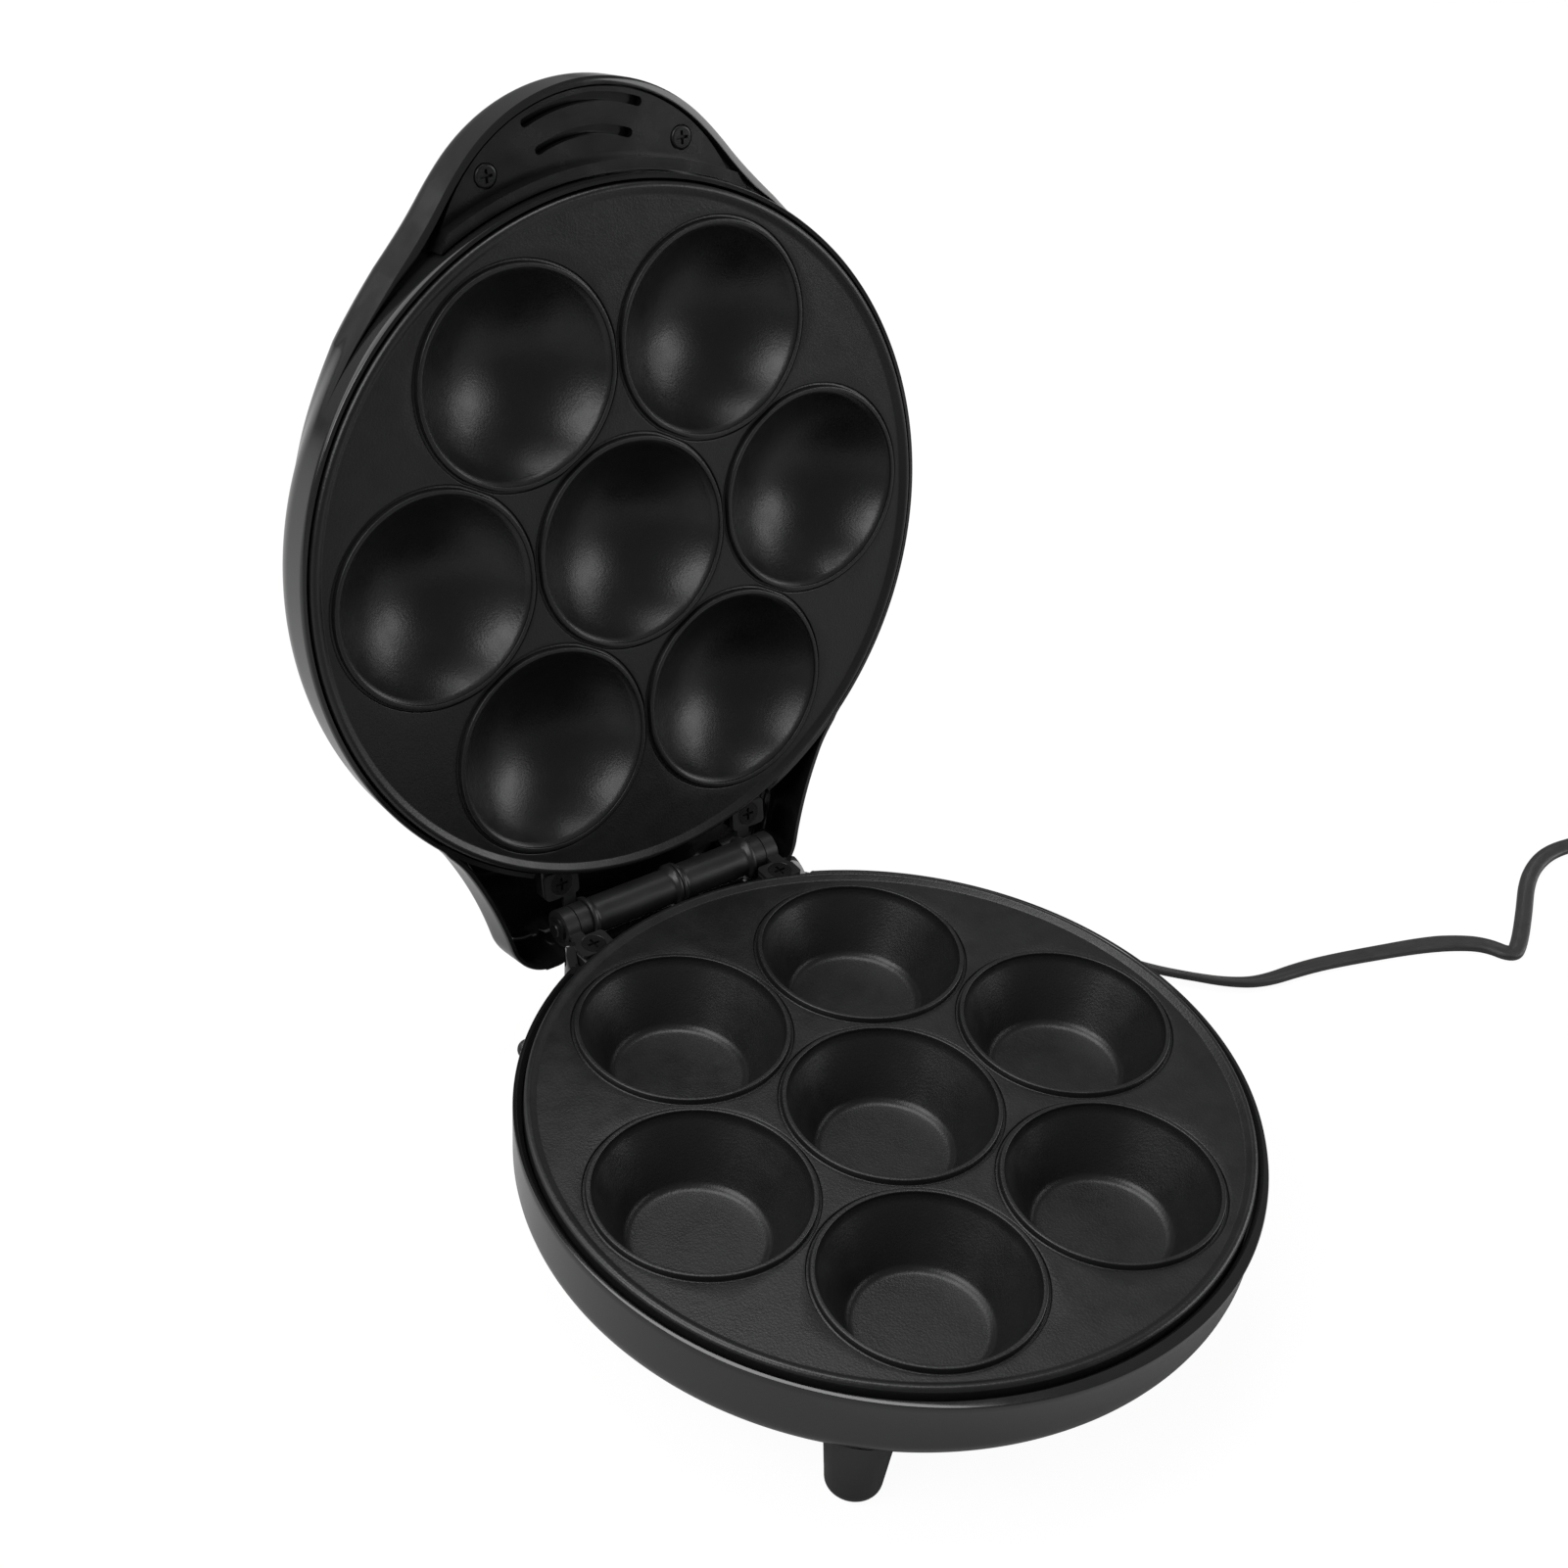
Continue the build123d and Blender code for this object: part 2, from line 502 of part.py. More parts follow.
def make_bottom_cover():
    high = UNDER_Z + HOUSE_WALL
    low = UNDER_Z - DISH_DROP
    body = turned(
        (0, low), (DISH_R, low), (DISH_R + 4, UNDER_Z), (COVER_R, UNDER_Z), (COVER_R, high),
        (DISH_R + 2.8, high), (DISH_R - 1.0, low + COVER_T), (0, low + COVER_T))
    # cord box under the back of the base
    box_low = UNDER_Z - BOX_DROP
    box_high = UNDER_Z - COVER_GAP
    shell = slab(-BOX_HALF, BOX_HALF, BOX_FRONT, BOX_BACK, box_low, box_high)
    shell = fillet(shell.edges().filter_by(Axis.Z), 5)
    shell = fillet(shell.edges().group_by(Axis.Z)[0], 2.4)
    body += shell
    # rear legs, their arms to the box and the small heels behind them
    for side, (foot_x, foot_y) in zip((-1, 1), REAR_FEET):
        x = side * REAR_LEG_X
        post = leg(foot_x, foot_y, LEG_FOOT_R, x, foot_y - REAR_SPLAY, REAR_TOP_R, box_high)
        heel_x, heel_y = side * HEEL_X, HINGE_Y - HEEL_IN
        heel = Pos(heel_x, heel_y, HEEL_R) * Sphere(HEEL_R)
        span = hypot(heel_x - foot_x, heel_y - foot_y)
        turn = degrees(atan2(heel_y - foot_y, heel_x - foot_x))
        bar = Pos(foot_x, foot_y, HEEL_R) * Rot(0, 0, turn) * Rot(0, 90, 0) * can(HEEL_R, 0, span)
        arm = slab(min(x, side * (BOX_HALF - 2)), max(x, side * (BOX_HALF - 2)),
                   foot_y - 5, foot_y + 3, box_low, box_high)
        body += [post, heel, bar, arm]
    # front legs, stopping short of the rolled edge of the housing
    cutter = extrude(Pos(0, 0, LIP_Z) * offset(tab_outline(0), COVER_GAP),
                     amount=-(LIP_Z - UNDER_Z + COVER_GAP), taper=HOUSE_DRAFT)
    cutter = fillet(cutter.edges().group_by(Axis.Z)[0], HOUSE_ROLL + COVER_GAP)
    cutter -= can(COVER_R, UNDER_Z - 2, LIP_Z)
    for angle in LEG_ANGLES:
        xf, yf = spots(PLATE_R - LEG_FOOT_IN, [angle])[0]
        xt, yt = spots(PLATE_R - LEG_TOP_IN, [angle])[0]
        post = leg(xf, yf, LEG_FOOT_R, xt, yt, LEG_TOP_R, high)
        keep = turned((DISH_R - 4, 0), (HOUSE_OUT + 20, 0), (HOUSE_OUT + 20, high), (DISH_R + 1, high),
                      (DISH_R + 1, UNDER_Z), (DISH_R - 4, low))
        body += (post & keep) - cutter
    # hollow of the cord box, its way up and the hole for the cord
    hollow = slab(-BOX_HALF + COVER_T, BOX_HALF - COVER_T, BOX_FRONT + COVER_T, BOX_BACK - COVER_T,
                  box_low + COVER_T, box_high - COVER_T)
    way = slab(-BOX_HALF + COVER_T, BOX_HALF - COVER_T, BOX_FRONT + COVER_T, BOX_FRONT + COVER_T + WAY_L,
               box_high - COVER_T - 0.5, high + 1)
    body -= [hollow, way]
    body -= Pos(CORD_X, BOX_BACK - 6, CORD_EXIT_Z) * Rot(-90, 0, 0) * can(BOOT_NECK_R, 0, 8)
    # posts for the long screws
    for x, y in spots(TIE_AT, TIE_AZ):
        body += can(TIE_POST_R, low, TIE_SEAT, x, y)
        body -= can(TIE_HEAD_R + 0.4, low - 1, TIE_HEAD_Z, x, y)
        body -= can(TIE_R + HOLE_FIT, low, TIE_SEAT + 1, x, y)
    # pegs that the reflector lies on
    body += [can(2.5, low + 0.5, REFLECTOR_Z, x, y) for x, y in spots(REFLECTOR_R - 6, (90 + 60, 210, 330))]
    # rings of curved vents
    for count in range(6):
        for radius in (VENT_R, VENT_R - 9, VENT_R - 18):
            body -= arc_slot(0, radius, VENT_W, 60 * count - VENT_SPAN / 2, 60 * count + VENT_SPAN / 2,
                             low - 1, low + COVER_T + 1)
    # sockets for the pads
    body -= [can(PAD_R, -1, PAD_OUT + PAD_IN, x, y) for x, y in FEET]
    return body


def arc_slot(cy, radius, width, start, end, low, high):
    """Curved slot with round ends, as a solid to cut with."""
    r_out = radius + width / 2
    r_in = radius - width / 2
    a0, a1 = radians(start), radians(end)
    am = (a0 + a1) / 2

    def at(r, a):
        return (r * cos(a), r * sin(a))
    tips = width / 2 / radius
    line = Wire([
        ThreePointArc(at(r_in, a0), at(r_in, am), at(r_in, a1)),
        ThreePointArc(at(r_in, a1), at(radius, a1 + tips), at(r_out, a1)),
        ThreePointArc(at(r_out, a1), at(r_out, am), at(r_out, a0)),
        ThreePointArc(at(r_out, a0), at(radius, a0 - tips), at(r_in, a0)),
    ])
    return Pos(0, cy, low) * extrude(make_face(line), amount=high - low, dir=(0, 0, 1))


def make_foot_pads():
    return [can(PAD_R, 0, PAD_OUT + PAD_IN, x, y) for x, y in FEET]


# --------------------------------------------------------------------- hinge
def knuckle(x0, x1, radius=KNUCKLE_R):
    """Barrel along the hinge axis with a running bore."""
    tube = Cylinder(radius, x1 - x0) - Cylinder(PIN_R + PIN_FIT, x1 - x0 + 1)
    return Pos((x0 + x1) / 2, HINGE_Y, HINGE_Z) * Rot(0, 90, 0) * tube


OUTER_X = (EAR_X + KNUCKLE_GAP / 2, EAR_X + KNUCKLE_GAP / 2 + KNUCKLE_W)
INNER_X = (EAR_X - KNUCKLE_GAP / 2 - KNUCKLE_W, EAR_X - KNUCKLE_GAP / 2)


def sleeve(x0, x1):
    """Sleeve on the pin, with a flared collar at either end."""
    body = knuckle(x0, x1)
    for end, way in ((x0, 1), (x1, -1)):
        flare = turned((PIN_R + PIN_FIT, 0), (COLLAR_R, 0), (COLLAR_R, COLLAR_W / 2),
                       (KNUCKLE_R - 0.2, COLLAR_W), (PIN_R + PIN_FIT, COLLAR_W))
        body += Pos(end, HINGE_Y, HINGE_Z) * Rot(0, 90 * way, 0) * flare
    return body


def strap(low, span, up):
    """Sheet strap on one ear with its rolled knuckle, right side."""
    front = HINGE_Y - EAR_SCREW_Y - EAR_HEAD_R - 0.3
    end = HINGE_Y - EAR_OUT
    pad = slab(EAR_X - EAR_W / 2, EAR_X + EAR_W / 2, front, end, low, low + STRAP_T)
    pad = fillet(pad.edges().filter_by(Axis.Z), 1.4)
    tongue = slab(span[0], span[1], end - 2, HINGE_Y - 1, low, low + STRAP_T)
    bore = Pos((span[0] + span[1]) / 2, HINGE_Y, HINGE_Z) * Rot(0, 90, 0) * Cylinder(
        PIN_R + PIN_FIT, KNUCKLE_W + 2)
    body = pad + tongue + knuckle(span[0], span[1]) - bore
    head = low + STRAP_T if up else low
    return body - ear_screw(head, up, HOLE_FIT)


def ear_screw(head, up, grow=0.0, x=EAR_X):
    """Countersunk screw, flush at its head height."""
    sign = -1 if up else 1
    y = HINGE_Y - EAR_SCREW_Y
    sink = EAR_HEAD_R - EAR_SCREW_R
    cone = turned((0, 0), (EAR_HEAD_R + grow, 0), (EAR_SCREW_R + grow, sign * sink), (0, sign * sink))
    ends = sorted((sign * (sink - 0.2), sign * (STRAP_T + EAR_T - 0.4)))
    body = cone + can(EAR_SCREW_R + grow, ends[0], ends[1])
    return Pos(x, y, head) * body


LOWER_STRAP_Z = LIP_Z - EAR_DROP
UPPER_STRAP_Z = TOP_LIP_Z + EAR_DROP - STRAP_T


def both_sides(piece):
    return [piece, mirror(piece, Plane.YZ)]


def screw_pair(head, up):
    """Ear screws with a cross recess."""
    screw = ear_screw(head, up)
    y = HINGE_Y - EAR_SCREW_Y
    low, high = (head - 0.9, head + 0.1) if up else (head - 0.1, head + 0.9)
    screw -= slab(EAR_X - 1.9, EAR_X + 1.9, y - 0.4, y + 0.4, low, high)
    screw -= slab(EAR_X - 0.4, EAR_X + 0.4, y - 1.9, y + 1.9, low, high)
    return both_sides(screw)


def make_pin():
    half = OUTER_X[1] + CLIP_T + 0.8
    pin = Pos(0, HINGE_Y, HINGE_Z) * Rot(0, 90, 0) * Cylinder(PIN_R, 2 * half)
    pin = chamfer(pin.edges(), 0.3)
    for side in (-1, 1):
        at = side * (OUTER_X[1] + 0.1 + CLIP_T / 2)
        groove = Cylinder(PIN_R + 1, CLIP_T) - Cylinder(PIN_R - 0.5, CLIP_T)
        pin -= Pos(at, HINGE_Y, HINGE_Z) * Rot(0, 90, 0) * groove
    return pin


def make_clips():
    """E-shaped clips in the grooves at the ends of the pin."""
    clips = []
    for side in (-1, 1):
        at = side * (OUTER_X[1] + 0.1 + CLIP_T / 2)
        clip = Cylinder(CLIP_R, CLIP_T) - Cylinder(PIN_R - 0.45, CLIP_T)
        clip -= Pos(0, CLIP_R, 0) * Box(2 * (PIN_R - 0.45), 2 * CLIP_R, CLIP_T)
        clips.append(Pos(at, HINGE_Y, HINGE_Z) * Rot(0, 90, 0) * clip)
    return clips


# ------------------------------------------------------------------ lid shell
def lid_section(wall):
    """Filled half section of the domed lid, shrunk inwards by a wall."""
    rim = LID_OUT - wall
    draft = LID_DRAFT if wall == 0 else LID_DRAFT_IN
    lean = radians(draft)
    roll = LID_ROLL - wall
    crown = LID_CROWN_R - wall
    top = LID_H - wall
    along = (-sin(lean), cos(lean))
    start = (rim - roll * cos(lean), LID_RIM - roll * sin(lean))
    middle = (0.0, top - crown)
    offset_x = start[0] - middle[0]
    offset_z = start[1] - middle[1]
    mixed = offset_x * along[0] + offset_z * along[1]
    rest = offset_x ** 2 + offset_z ** 2 - (crown - roll) ** 2
    run = -mixed + sqrt(mixed ** 2 - rest)
    centre = (start[0] + along[0] * run, start[1] + along[1] * run)
    meet = degrees(atan2(centre[1] - middle[1], centre[0]))
    low = LID_RIM - (0 if wall == 0 else 2)
    foot = rim if wall == 0 else rim + 2 * tan(lean)
    z = LIP_Z
    shoulder = (centre[0] + roll * cos(lean), centre[1] + roll * sin(lean) + z)
    return lathe(
        rz_line((0, low + z), (foot, low + z)),
        rz_line((foot, low + z), shoulder),
        rz_arc((centre[0], centre[1] + z), roll, draft, meet),
        rz_arc((0, middle[1] + z), crown, meet, 90),
        rz_line((0, top + z), (0, low + z)))


def grip_outline(inset):
    """Plan of the handle, run on into the dome behind it."""
    radius = HANDLE_R - inset
    turn = radians(HANDLE_FLANK - 90)
    touch = (radius * cos(turn), HANDLE_C + radius * sin(turn))
    way = (cos(radians(HANDLE_FLANK)), sin(radians(HANDLE_FLANK)))
    far = (touch[0] + way[0] * HANDLE_RUN, touch[1] + way[1] * HANDLE_RUN)
    return make_face(Wire([
        ThreePointArc((-touch[0], touch[1]), (0, HANDLE_C - radius), touch),
        Line(touch, far), Line(far, (far[0] - 14, far[1] + 20)),
        Line((far[0] - 14, far[1] + 20), (-far[0] + 14, far[1] + 20)),
        Line((-far[0] + 14, far[1] + 20), (-far[0], far[1])), Line((-far[0], far[1]), (-touch[0], touch[1])),
    ]))


def outline_edges(solid, outline_level, pick):
    """Edges of one level that a test on their middle point keeps."""
    level = solid.edges().group_by(Axis.Z)[outline_level]
    return [e for e in level if pick(e.position_at(0.5))]


def grip_body(inset, low):
    high = LIP_Z + HANDLE_TOP - inset
    body = extrude(Pos(0, 0, low) * grip_outline(inset), amount=high - low)
    touch = HANDLE_C + (HANDLE_R - inset) * sin(radians(HANDLE_FLANK - 90))
    ends = touch + sin(radians(HANDLE_FLANK)) * HANDLE_RUN
    return fillet(outline_edges(body, -1, lambda p: p.Y < ends - 1), HANDLE_ROLL - inset)


def back_outline(inset):
    """Plan of the back of the lid, flanks hollowed and run on into the dome."""
    half = BACK_HALF - inset
    back = BACK_Y - inset
    wide = half + BACK_FLARE
    front = BACK_Y - BACK_RUN
    waist = ((half + wide) / 2 - BACK_SAG, (back + front) / 2)
    plan = make_face(Wire([
        Line((-half, back), (half, back)),
        ThreePointArc((half, back), waist, (wide, front)),
        Line((wide, front), (wide - 5, front - 10)),
        Line((wide - 5, front - 10), (5 - wide, front - 10)),
        Line((5 - wide, front - 10), (-wide, front)),
        ThreePointArc((-wide, front), (-waist[0], waist[1]), (-half, back)),
    ]))
    return fillet(plan.vertices().group_by(Axis.Y)[-1], BACK_CORNER - inset)


def back_body(inset, low):
    high = LIP_Z + BACK_TOP - inset
    body = extrude(Pos(0, 0, low) * back_outline(inset), amount=high - low)
    return fillet(outline_edges(body, -1, lambda p: p.Y > BACK_Y - BACK_RUN), BACK_ROLL - inset)


def notch_plan(grow):
    """Plan of the gap in the back wall, its outer corners rounded outwards."""
    half = NOTCH_HALF + grow
    centre = (NOTCH_HALF + NOTCH_CORNER, BACK_Y - NOTCH_CORNER)
    radius = NOTCH_CORNER - grow
    bow = (centre[0] - radius * sqrt(0.5), centre[1] + radius * sqrt(0.5))
    front = HINGE_Y + 1
    back = BACK_Y + 2
    side = make_face(Wire([
        Line((0, front), (half, front)),
        Line((half, front), (half, centre[1])),
        ThreePointArc((half, centre[1]), bow, (centre[0], BACK_Y - grow)),
        Line((centre[0], BACK_Y - grow), (centre[0], back)),
        Line((centre[0], back), (0, back)),
        Line((0, back), (0, front)),
    ]))
    return side + mirror(side, Plane.YZ)


def make_lid_shell():
    rim = LIP_Z + LID_RIM
    grip_low = LIP_Z + HANDLE_RIM
    body = lid_section(0) + grip_body(0, grip_low) + back_body(0, rim)
    rib_half = EAR_X + EAR_W / 2 + 2
    # hollow under the dome, the handle and the back
    ring = can(LID_OUT, rim - 1, LIP_Z + LID_H)
    body -= lid_section(LID_WALL)
    body -= grip_body(HANDLE_WALL, grip_low - 1) - ring
    gate = slab(-rib_half, rib_half, PLATE_R - 30, BACK_Y, rim - 2, LIP_Z + BACK_TOP - LID_WALL)
    rear = back_body(LID_WALL, rim - 1)
    body -= rear - (ring - gate)
    # ledge behind the plate skirt
    ledge_low = TOP_LIP_Z + SKIRT_H
    ledge = turned((HOUSE_IN - LEDGE_W, ledge_low), (LID_IN + 0.6, ledge_low),
                   (LID_IN + 0.6, ledge_low + LEDGE_T), (HOUSE_IN - LEDGE_W, ledge_low + LEDGE_T))
    body += ledge - slab(-rib_half, rib_half, PLATE_R - 30, BACK_Y, rim, ledge_low + 5)
    # gap in the back wall that clears the base
    gap = notch_plan(0)
    sides = extrude(Pos(0, 0, rim) * (notch_plan(LID_WALL) - gap), amount=BACK_TOP - LID_RIM)
    slope = make_face(Polyline(
        (0, HINGE_Y + SIDE_LOW_Y, rim), (0, HINGE_Y + SIDE_TOP_Y, LIP_Z + SIDE_TOP),
        (0, HINGE_Y + SIDE_TOP_Y, LIP_Z + BACK_TOP), (0, BACK_Y + 1, LIP_Z + BACK_TOP), (0, BACK_Y + 1, rim),
        close=True))
    body += sides & extrude(slope, amount=BACK_HALF, both=True) & back_body(0.3, rim)
    body -= extrude(Pos(0, 0, rim - 1) * gap, amount=LIP_Z + NOTCH_TOP - rim + 1)
    # posts and windows for the front lugs
    window = lug_arm(0.35)
    for cut in both_sides(window):
        body -= cut
    for side in (-1, 1):
        x = side * GRIP_SCREW_X
        post = can(POST_R, LUG_Z + LUG_T, POST_TOP + 0.6, x, GRIP_SCREW_Y)
        body += post
        body -= can(GRIP_SCREW_R + HOLE_FIT, LUG_Z, LUG_Z + GRIP_SCREW_L, x, GRIP_SCREW_Y)
    # seats of the two lamp lenses
    for side in (-1, 1):
        body -= can(LENS_R + HOLE_FIT, LIP_Z + 20, LIP_Z + LID_H + 1, side * LENS_X, LENS_Y)
    return body


def grip_cover_plan(inset):
    return grip_outline(HANDLE_WALL + COVER_FIT + inset) - Circle(LID_OUT + COVER_FIT)


def make_handle_cover():
    low = LIP_Z + HANDLE_RIM + COVER_SUNK
    plan = grip_cover_plan(0)
    plan = plan.faces().sort_by(Axis.Y)[0]
    body = extrude(Pos(0, 0, low) * plan, amount=COVER_PLATE_T)
    ridge_low = LIP_Z + HANDLE_RIM + COVER_SUNK - RIDGE_DROP
    inner = LID_OUT + COVER_FIT
    ridge = turned((inner, ridge_low), (inner + RIDGE_W, ridge_low), (inner + RIDGE_W, low + 1),
                   (inner, low + 1))
    wedge = extrude(Pos(0, 0, ridge_low) * plan, amount=low + 1 - ridge_low)
    body += ridge & wedge
    for radius, half in zip(SLOT_RS, SLOT_HALF):
        spread = degrees(atan2(half, sqrt(radius ** 2 - half ** 2)))
        body -= arc_slot(SLOT_C, radius, SLOT_W, -90 - spread, -90 + spread, low - 1, low + COVER_PLATE_T + 1)
    for side in (-1, 1):
        x = side * GRIP_SCREW_X
        body -= can(GRIP_HEAD_R + 0.3, low - 1, low + COVER_PLATE_T / 2, x, GRIP_SCREW_Y)
        body -= can(GRIP_SCREW_R + HOLE_FIT, low, low + COVER_PLATE_T + 1, x, GRIP_SCREW_Y)
    return body


def make_handle_screws():
    seat = LIP_Z + HANDLE_RIM + COVER_SUNK + COVER_PLATE_T / 2
    screws = []
    for side in (-1, 1):
        x = side * GRIP_SCREW_X
        body = can(GRIP_HEAD_R, seat - 1.5, seat, x, GRIP_SCREW_Y)
        body = fillet(body.edges().group_by(Axis.Z)[0], 0.6)
        body += can(GRIP_SCREW_R, seat, seat + GRIP_SCREW_L, x, GRIP_SCREW_Y)
        body -= slab(x - 1.8, x + 1.8, GRIP_SCREW_Y - 0.4, GRIP_SCREW_Y + 0.4, seat - 2, seat - 0.7)
        body -= slab(x - 0.4, x + 0.4, GRIP_SCREW_Y - 1.8, GRIP_SCREW_Y + 1.8, seat - 2, seat - 0.7)
        screws.append(body)
    return screws


def lid_height(radius, wall=0.0):
    """Height of the crown above the lip plane at one radius."""
    crown = LID_CROWN_R - wall
    return LID_H - wall - crown + sqrt(crown ** 2 - radius ** 2)


def make_lens(side):
    """Lamp lens pushed up through the lid, held by its inner flange."""
    x = side * LENS_X
    far = hypot(x, LENS_Y)
    top = LIP_Z + lid_height(far - LENS_R) + 1.2
    under = LIP_Z + lid_height(far + LENS_R + 1.4, LID_WALL) - 1.0
    body = can(LENS_R, under - 0.5, top, x, LENS_Y)
    body = fillet(body.edges().group_by(Axis.Z)[-1], 0.8)
    return body + can(LENS_R + 1.4, under - 2.5, under - 0.5, x, LENS_Y)


# ------------------------------------------------------------------ internals
def heater():
    """Ring of sheathed tube with two tails to the back, at z = 0."""
    turn = COIL_R + TAIL_BEND
    across = TAIL_X + TAIL_BEND
    up = sqrt(turn ** 2 - across ** 2)
    join = (across * COIL_R / turn, up * COIL_R / turn)
    facing = atan2(up, across)
    mid = (pi + (facing + pi)) / 2
    bend = (across + TAIL_BEND * cos(mid), up + TAIL_BEND * sin(mid))
    path = Wire([
        Line((TAIL_X, TAIL_END), (TAIL_X, up)),
        ThreePointArc((TAIL_X, up), bend, join),
        ThreePointArc(join, (0, -COIL_R), (-join[0], join[1])),
        ThreePointArc((-join[0], join[1]), (-bend[0], bend[1]), (-TAIL_X, up)),
        Line((-TAIL_X, up), (-TAIL_X, TAIL_END)),
    ])
    section = Plane(origin=(TAIL_X, TAIL_END, 0), z_dir=(0, -1, 0)) * Circle(TUBE_R)
    tube = sweep(section, path=path)
    for side in (-1, 1):
        x = side * TAIL_X
        tube += Pos(x, TAIL_END, 0) * Rot(-90, 0, 0) * can(1.2, -1, 4)
        tube += slab(x - 0.4, x + 0.4, TAIL_END + 3, TAIL_END + 9, -3.1, 3.1)
    return tube


def clamp_set(flip):
    """Straps that press the heating tube to the plate, and their screws."""
    straps, screws = [], []
    seat = -TUBE_DROP - TUBE_R - 0.05
    for angle in CLAMP_AZ:
        place = Rot(0, 0, angle)
        piece = slab(COIL_R - TUBE_R - 1, CLAMP_AT + BOSS_R, -CLAMP_W / 2, CLAMP_W / 2, seat - CLAMP_T, seat)
        piece = fillet(piece.edges().filter_by(Axis.Z), 2)
        piece -= can(CLAMP_SCREW_R + HOLE_FIT, seat - 3, seat + 1, CLAMP_AT, 0)
        screw = can(2.7, seat - CLAMP_T - 1.8, seat - CLAMP_T, CLAMP_AT, 0)
        screw = fillet(screw.edges().group_by(Axis.Z)[0], 0.7)
        screw += can(CLAMP_SCREW_R, seat - CLAMP_T - 0.1, seat + 6.5, CLAMP_AT, 0)
        screw -= slab(CLAMP_AT - 1.6, CLAMP_AT + 1.6, -0.4, 0.4, seat - CLAMP_T - 2, seat - CLAMP_T - 0.9)
        straps.append(place * piece)
        screws.append(place * screw)
    if flip:
        straps = [Pos(0, 0, TOP_LIP_Z) * mirror(s, Plane.XY) for s in straps]
        screws = [Pos(0, 0, TOP_LIP_Z) * mirror(s, Plane.XY) for s in screws]
        return straps, screws
    return [Pos(0, 0, LIP_Z) * s for s in straps], [Pos(0, 0, LIP_Z) * s for s in screws]


def make_thermostat():
    """Disc thermostat under the plate, with its two blade terminals."""
    x, y = spots(STAT_AT, [330])[0]
    top = LIP_Z - WEB_UNDER
    body = can(STAT_R, top - STAT_H, top, x, y) + can(STAT_R + 1.4, top - 1.2, top, x, y)
    body = body + can(STAT_R - 2, top - STAT_H - 1.5, top - STAT_H, x, y)
    for side in (-1, 1):
        body += slab(x + side * 4 - 0.4, x + side * 4 + 0.4, y - 2.4, y + 2.4, top - STAT_H - 6, top - STAT_H)
    return body


def make_terminal_block():
    low = UNDER_Z - BOX_DROP + COVER_T
    body = slab(-20, 4, BOX_BACK - 17, BOX_BACK - 7, low, low + 8.2)
    body = fillet(body.edges().filter_by(Axis.Z), 1.2)
    for x in (-16, -8, 0):
        body -= can(1.9, low + 5.5, low + 9, x, BOX_BACK - 12)
    return body


def make_reflector():
    body = can(REFLECTOR_R, REFLECTOR_Z, REFLECTOR_Z + REFLECTOR_T)
    rim = turned((REFLECTOR_R - REFLECTOR_T, REFLECTOR_Z), (REFLECTOR_R, REFLECTOR_Z),
                 (REFLECTOR_R, REFLECTOR_Z + 3), (REFLECTOR_R - REFLECTOR_T, REFLECTOR_Z + 3))
    return body + rim


def make_tie_screws():
    screws = []
    for x, y in spots(TIE_AT, TIE_AZ):
        head = can(TIE_HEAD_R, TIE_HEAD_Z - 2.4, TIE_HEAD_Z, x, y)
        head = fillet(head.edges().group_by(Axis.Z)[0], 0.9)
        screw = head + can(TIE_R, TIE_HEAD_Z - 0.1, TIE_SEAT + 9.5, x, y)
        screw -= slab(x - 2.2, x + 2.2, y - 0.5, y + 0.5, TIE_HEAD_Z - 3, TIE_HEAD_Z - 1.2)
        screw -= slab(x - 0.5, x + 0.5, y - 2.2, y + 2.2, TIE_HEAD_Z - 3, TIE_HEAD_Z - 1.2)
        screws.append(screw)
    return screws


# ----------------------------------------------------------------------- cord
def make_boot():
    """Ribbed bend guard with a neck and flange inside the wall."""
    end = BOX_BACK + BOOT_L
    wall = BOX_BACK - COVER_T
    tip = CORD_D / 2 + 0.8
    body = turned((0, 0), (BOOT_R, 0), (BOOT_R, 2.5), (tip, BOOT_L), (0, BOOT_L))
    for count in range(5):
        at = 4.5 + count * 3.6
        size = BOOT_R + (tip - BOOT_R) * (at - 2.5) / (BOOT_L - 2.5)
        body -= turned((size - 0.7, at), (size + 1, at), (size + 1, at + 1.4), (size - 0.7, at + 1.4))
    body += can(BOOT_NECK_R - 0.1, -COVER_T - 0.1, 0)
    body += can(BOOT_NECK_R + 0.6, -COVER_T - 2.1, -COVER_T - 0.1)
    return Pos(CORD_X, BOX_BACK + 0.1, CORD_EXIT_Z) * Rot(-90, 0, 0) * body


def corner_radii(points):
    """Largest tangent arc at each inner point of a route."""
    radii = []
    for a, b, c in zip(points, points[1:], points[2:]):
        turn = (b - a).get_angle(c - b)
        short = min((b - a).length, (c - b).length)
        radii.append(0.45 * short / tan(radians(turn / 2)))
    return radii


def cord_points():
    low = CORD_D / 2
    first = Vector(CORD_X, BOX_BACK + 0.1 + BOOT_L, CORD_EXIT_Z)
    last = Vector(HANK_C[0] - HANK_LEAD, HANK_C[1] + HANK_R, low)
    return [first] + [Vector(p[0], p[1], p[2] if len(p) > 2 else low) for p in ROUTE] + [last]


def make_cord():
    points = cord_points()
    radii = corner_radii(points)
    print("cord radii", [round(r, 1) for r in radii])
    path = FilletPolyline(*points, radius=radii)
    section = Plane(origin=points[0], z_dir=points[1] - points[0]) * Circle(CORD_D / 2)
    tube = sweep(section, path=path)
    share = tube.volume / (pi * CORD_D ** 2 / 4 * path.length)
    print("cord length", round(path.length, 1), "volume share", round(share, 4))
    return tube


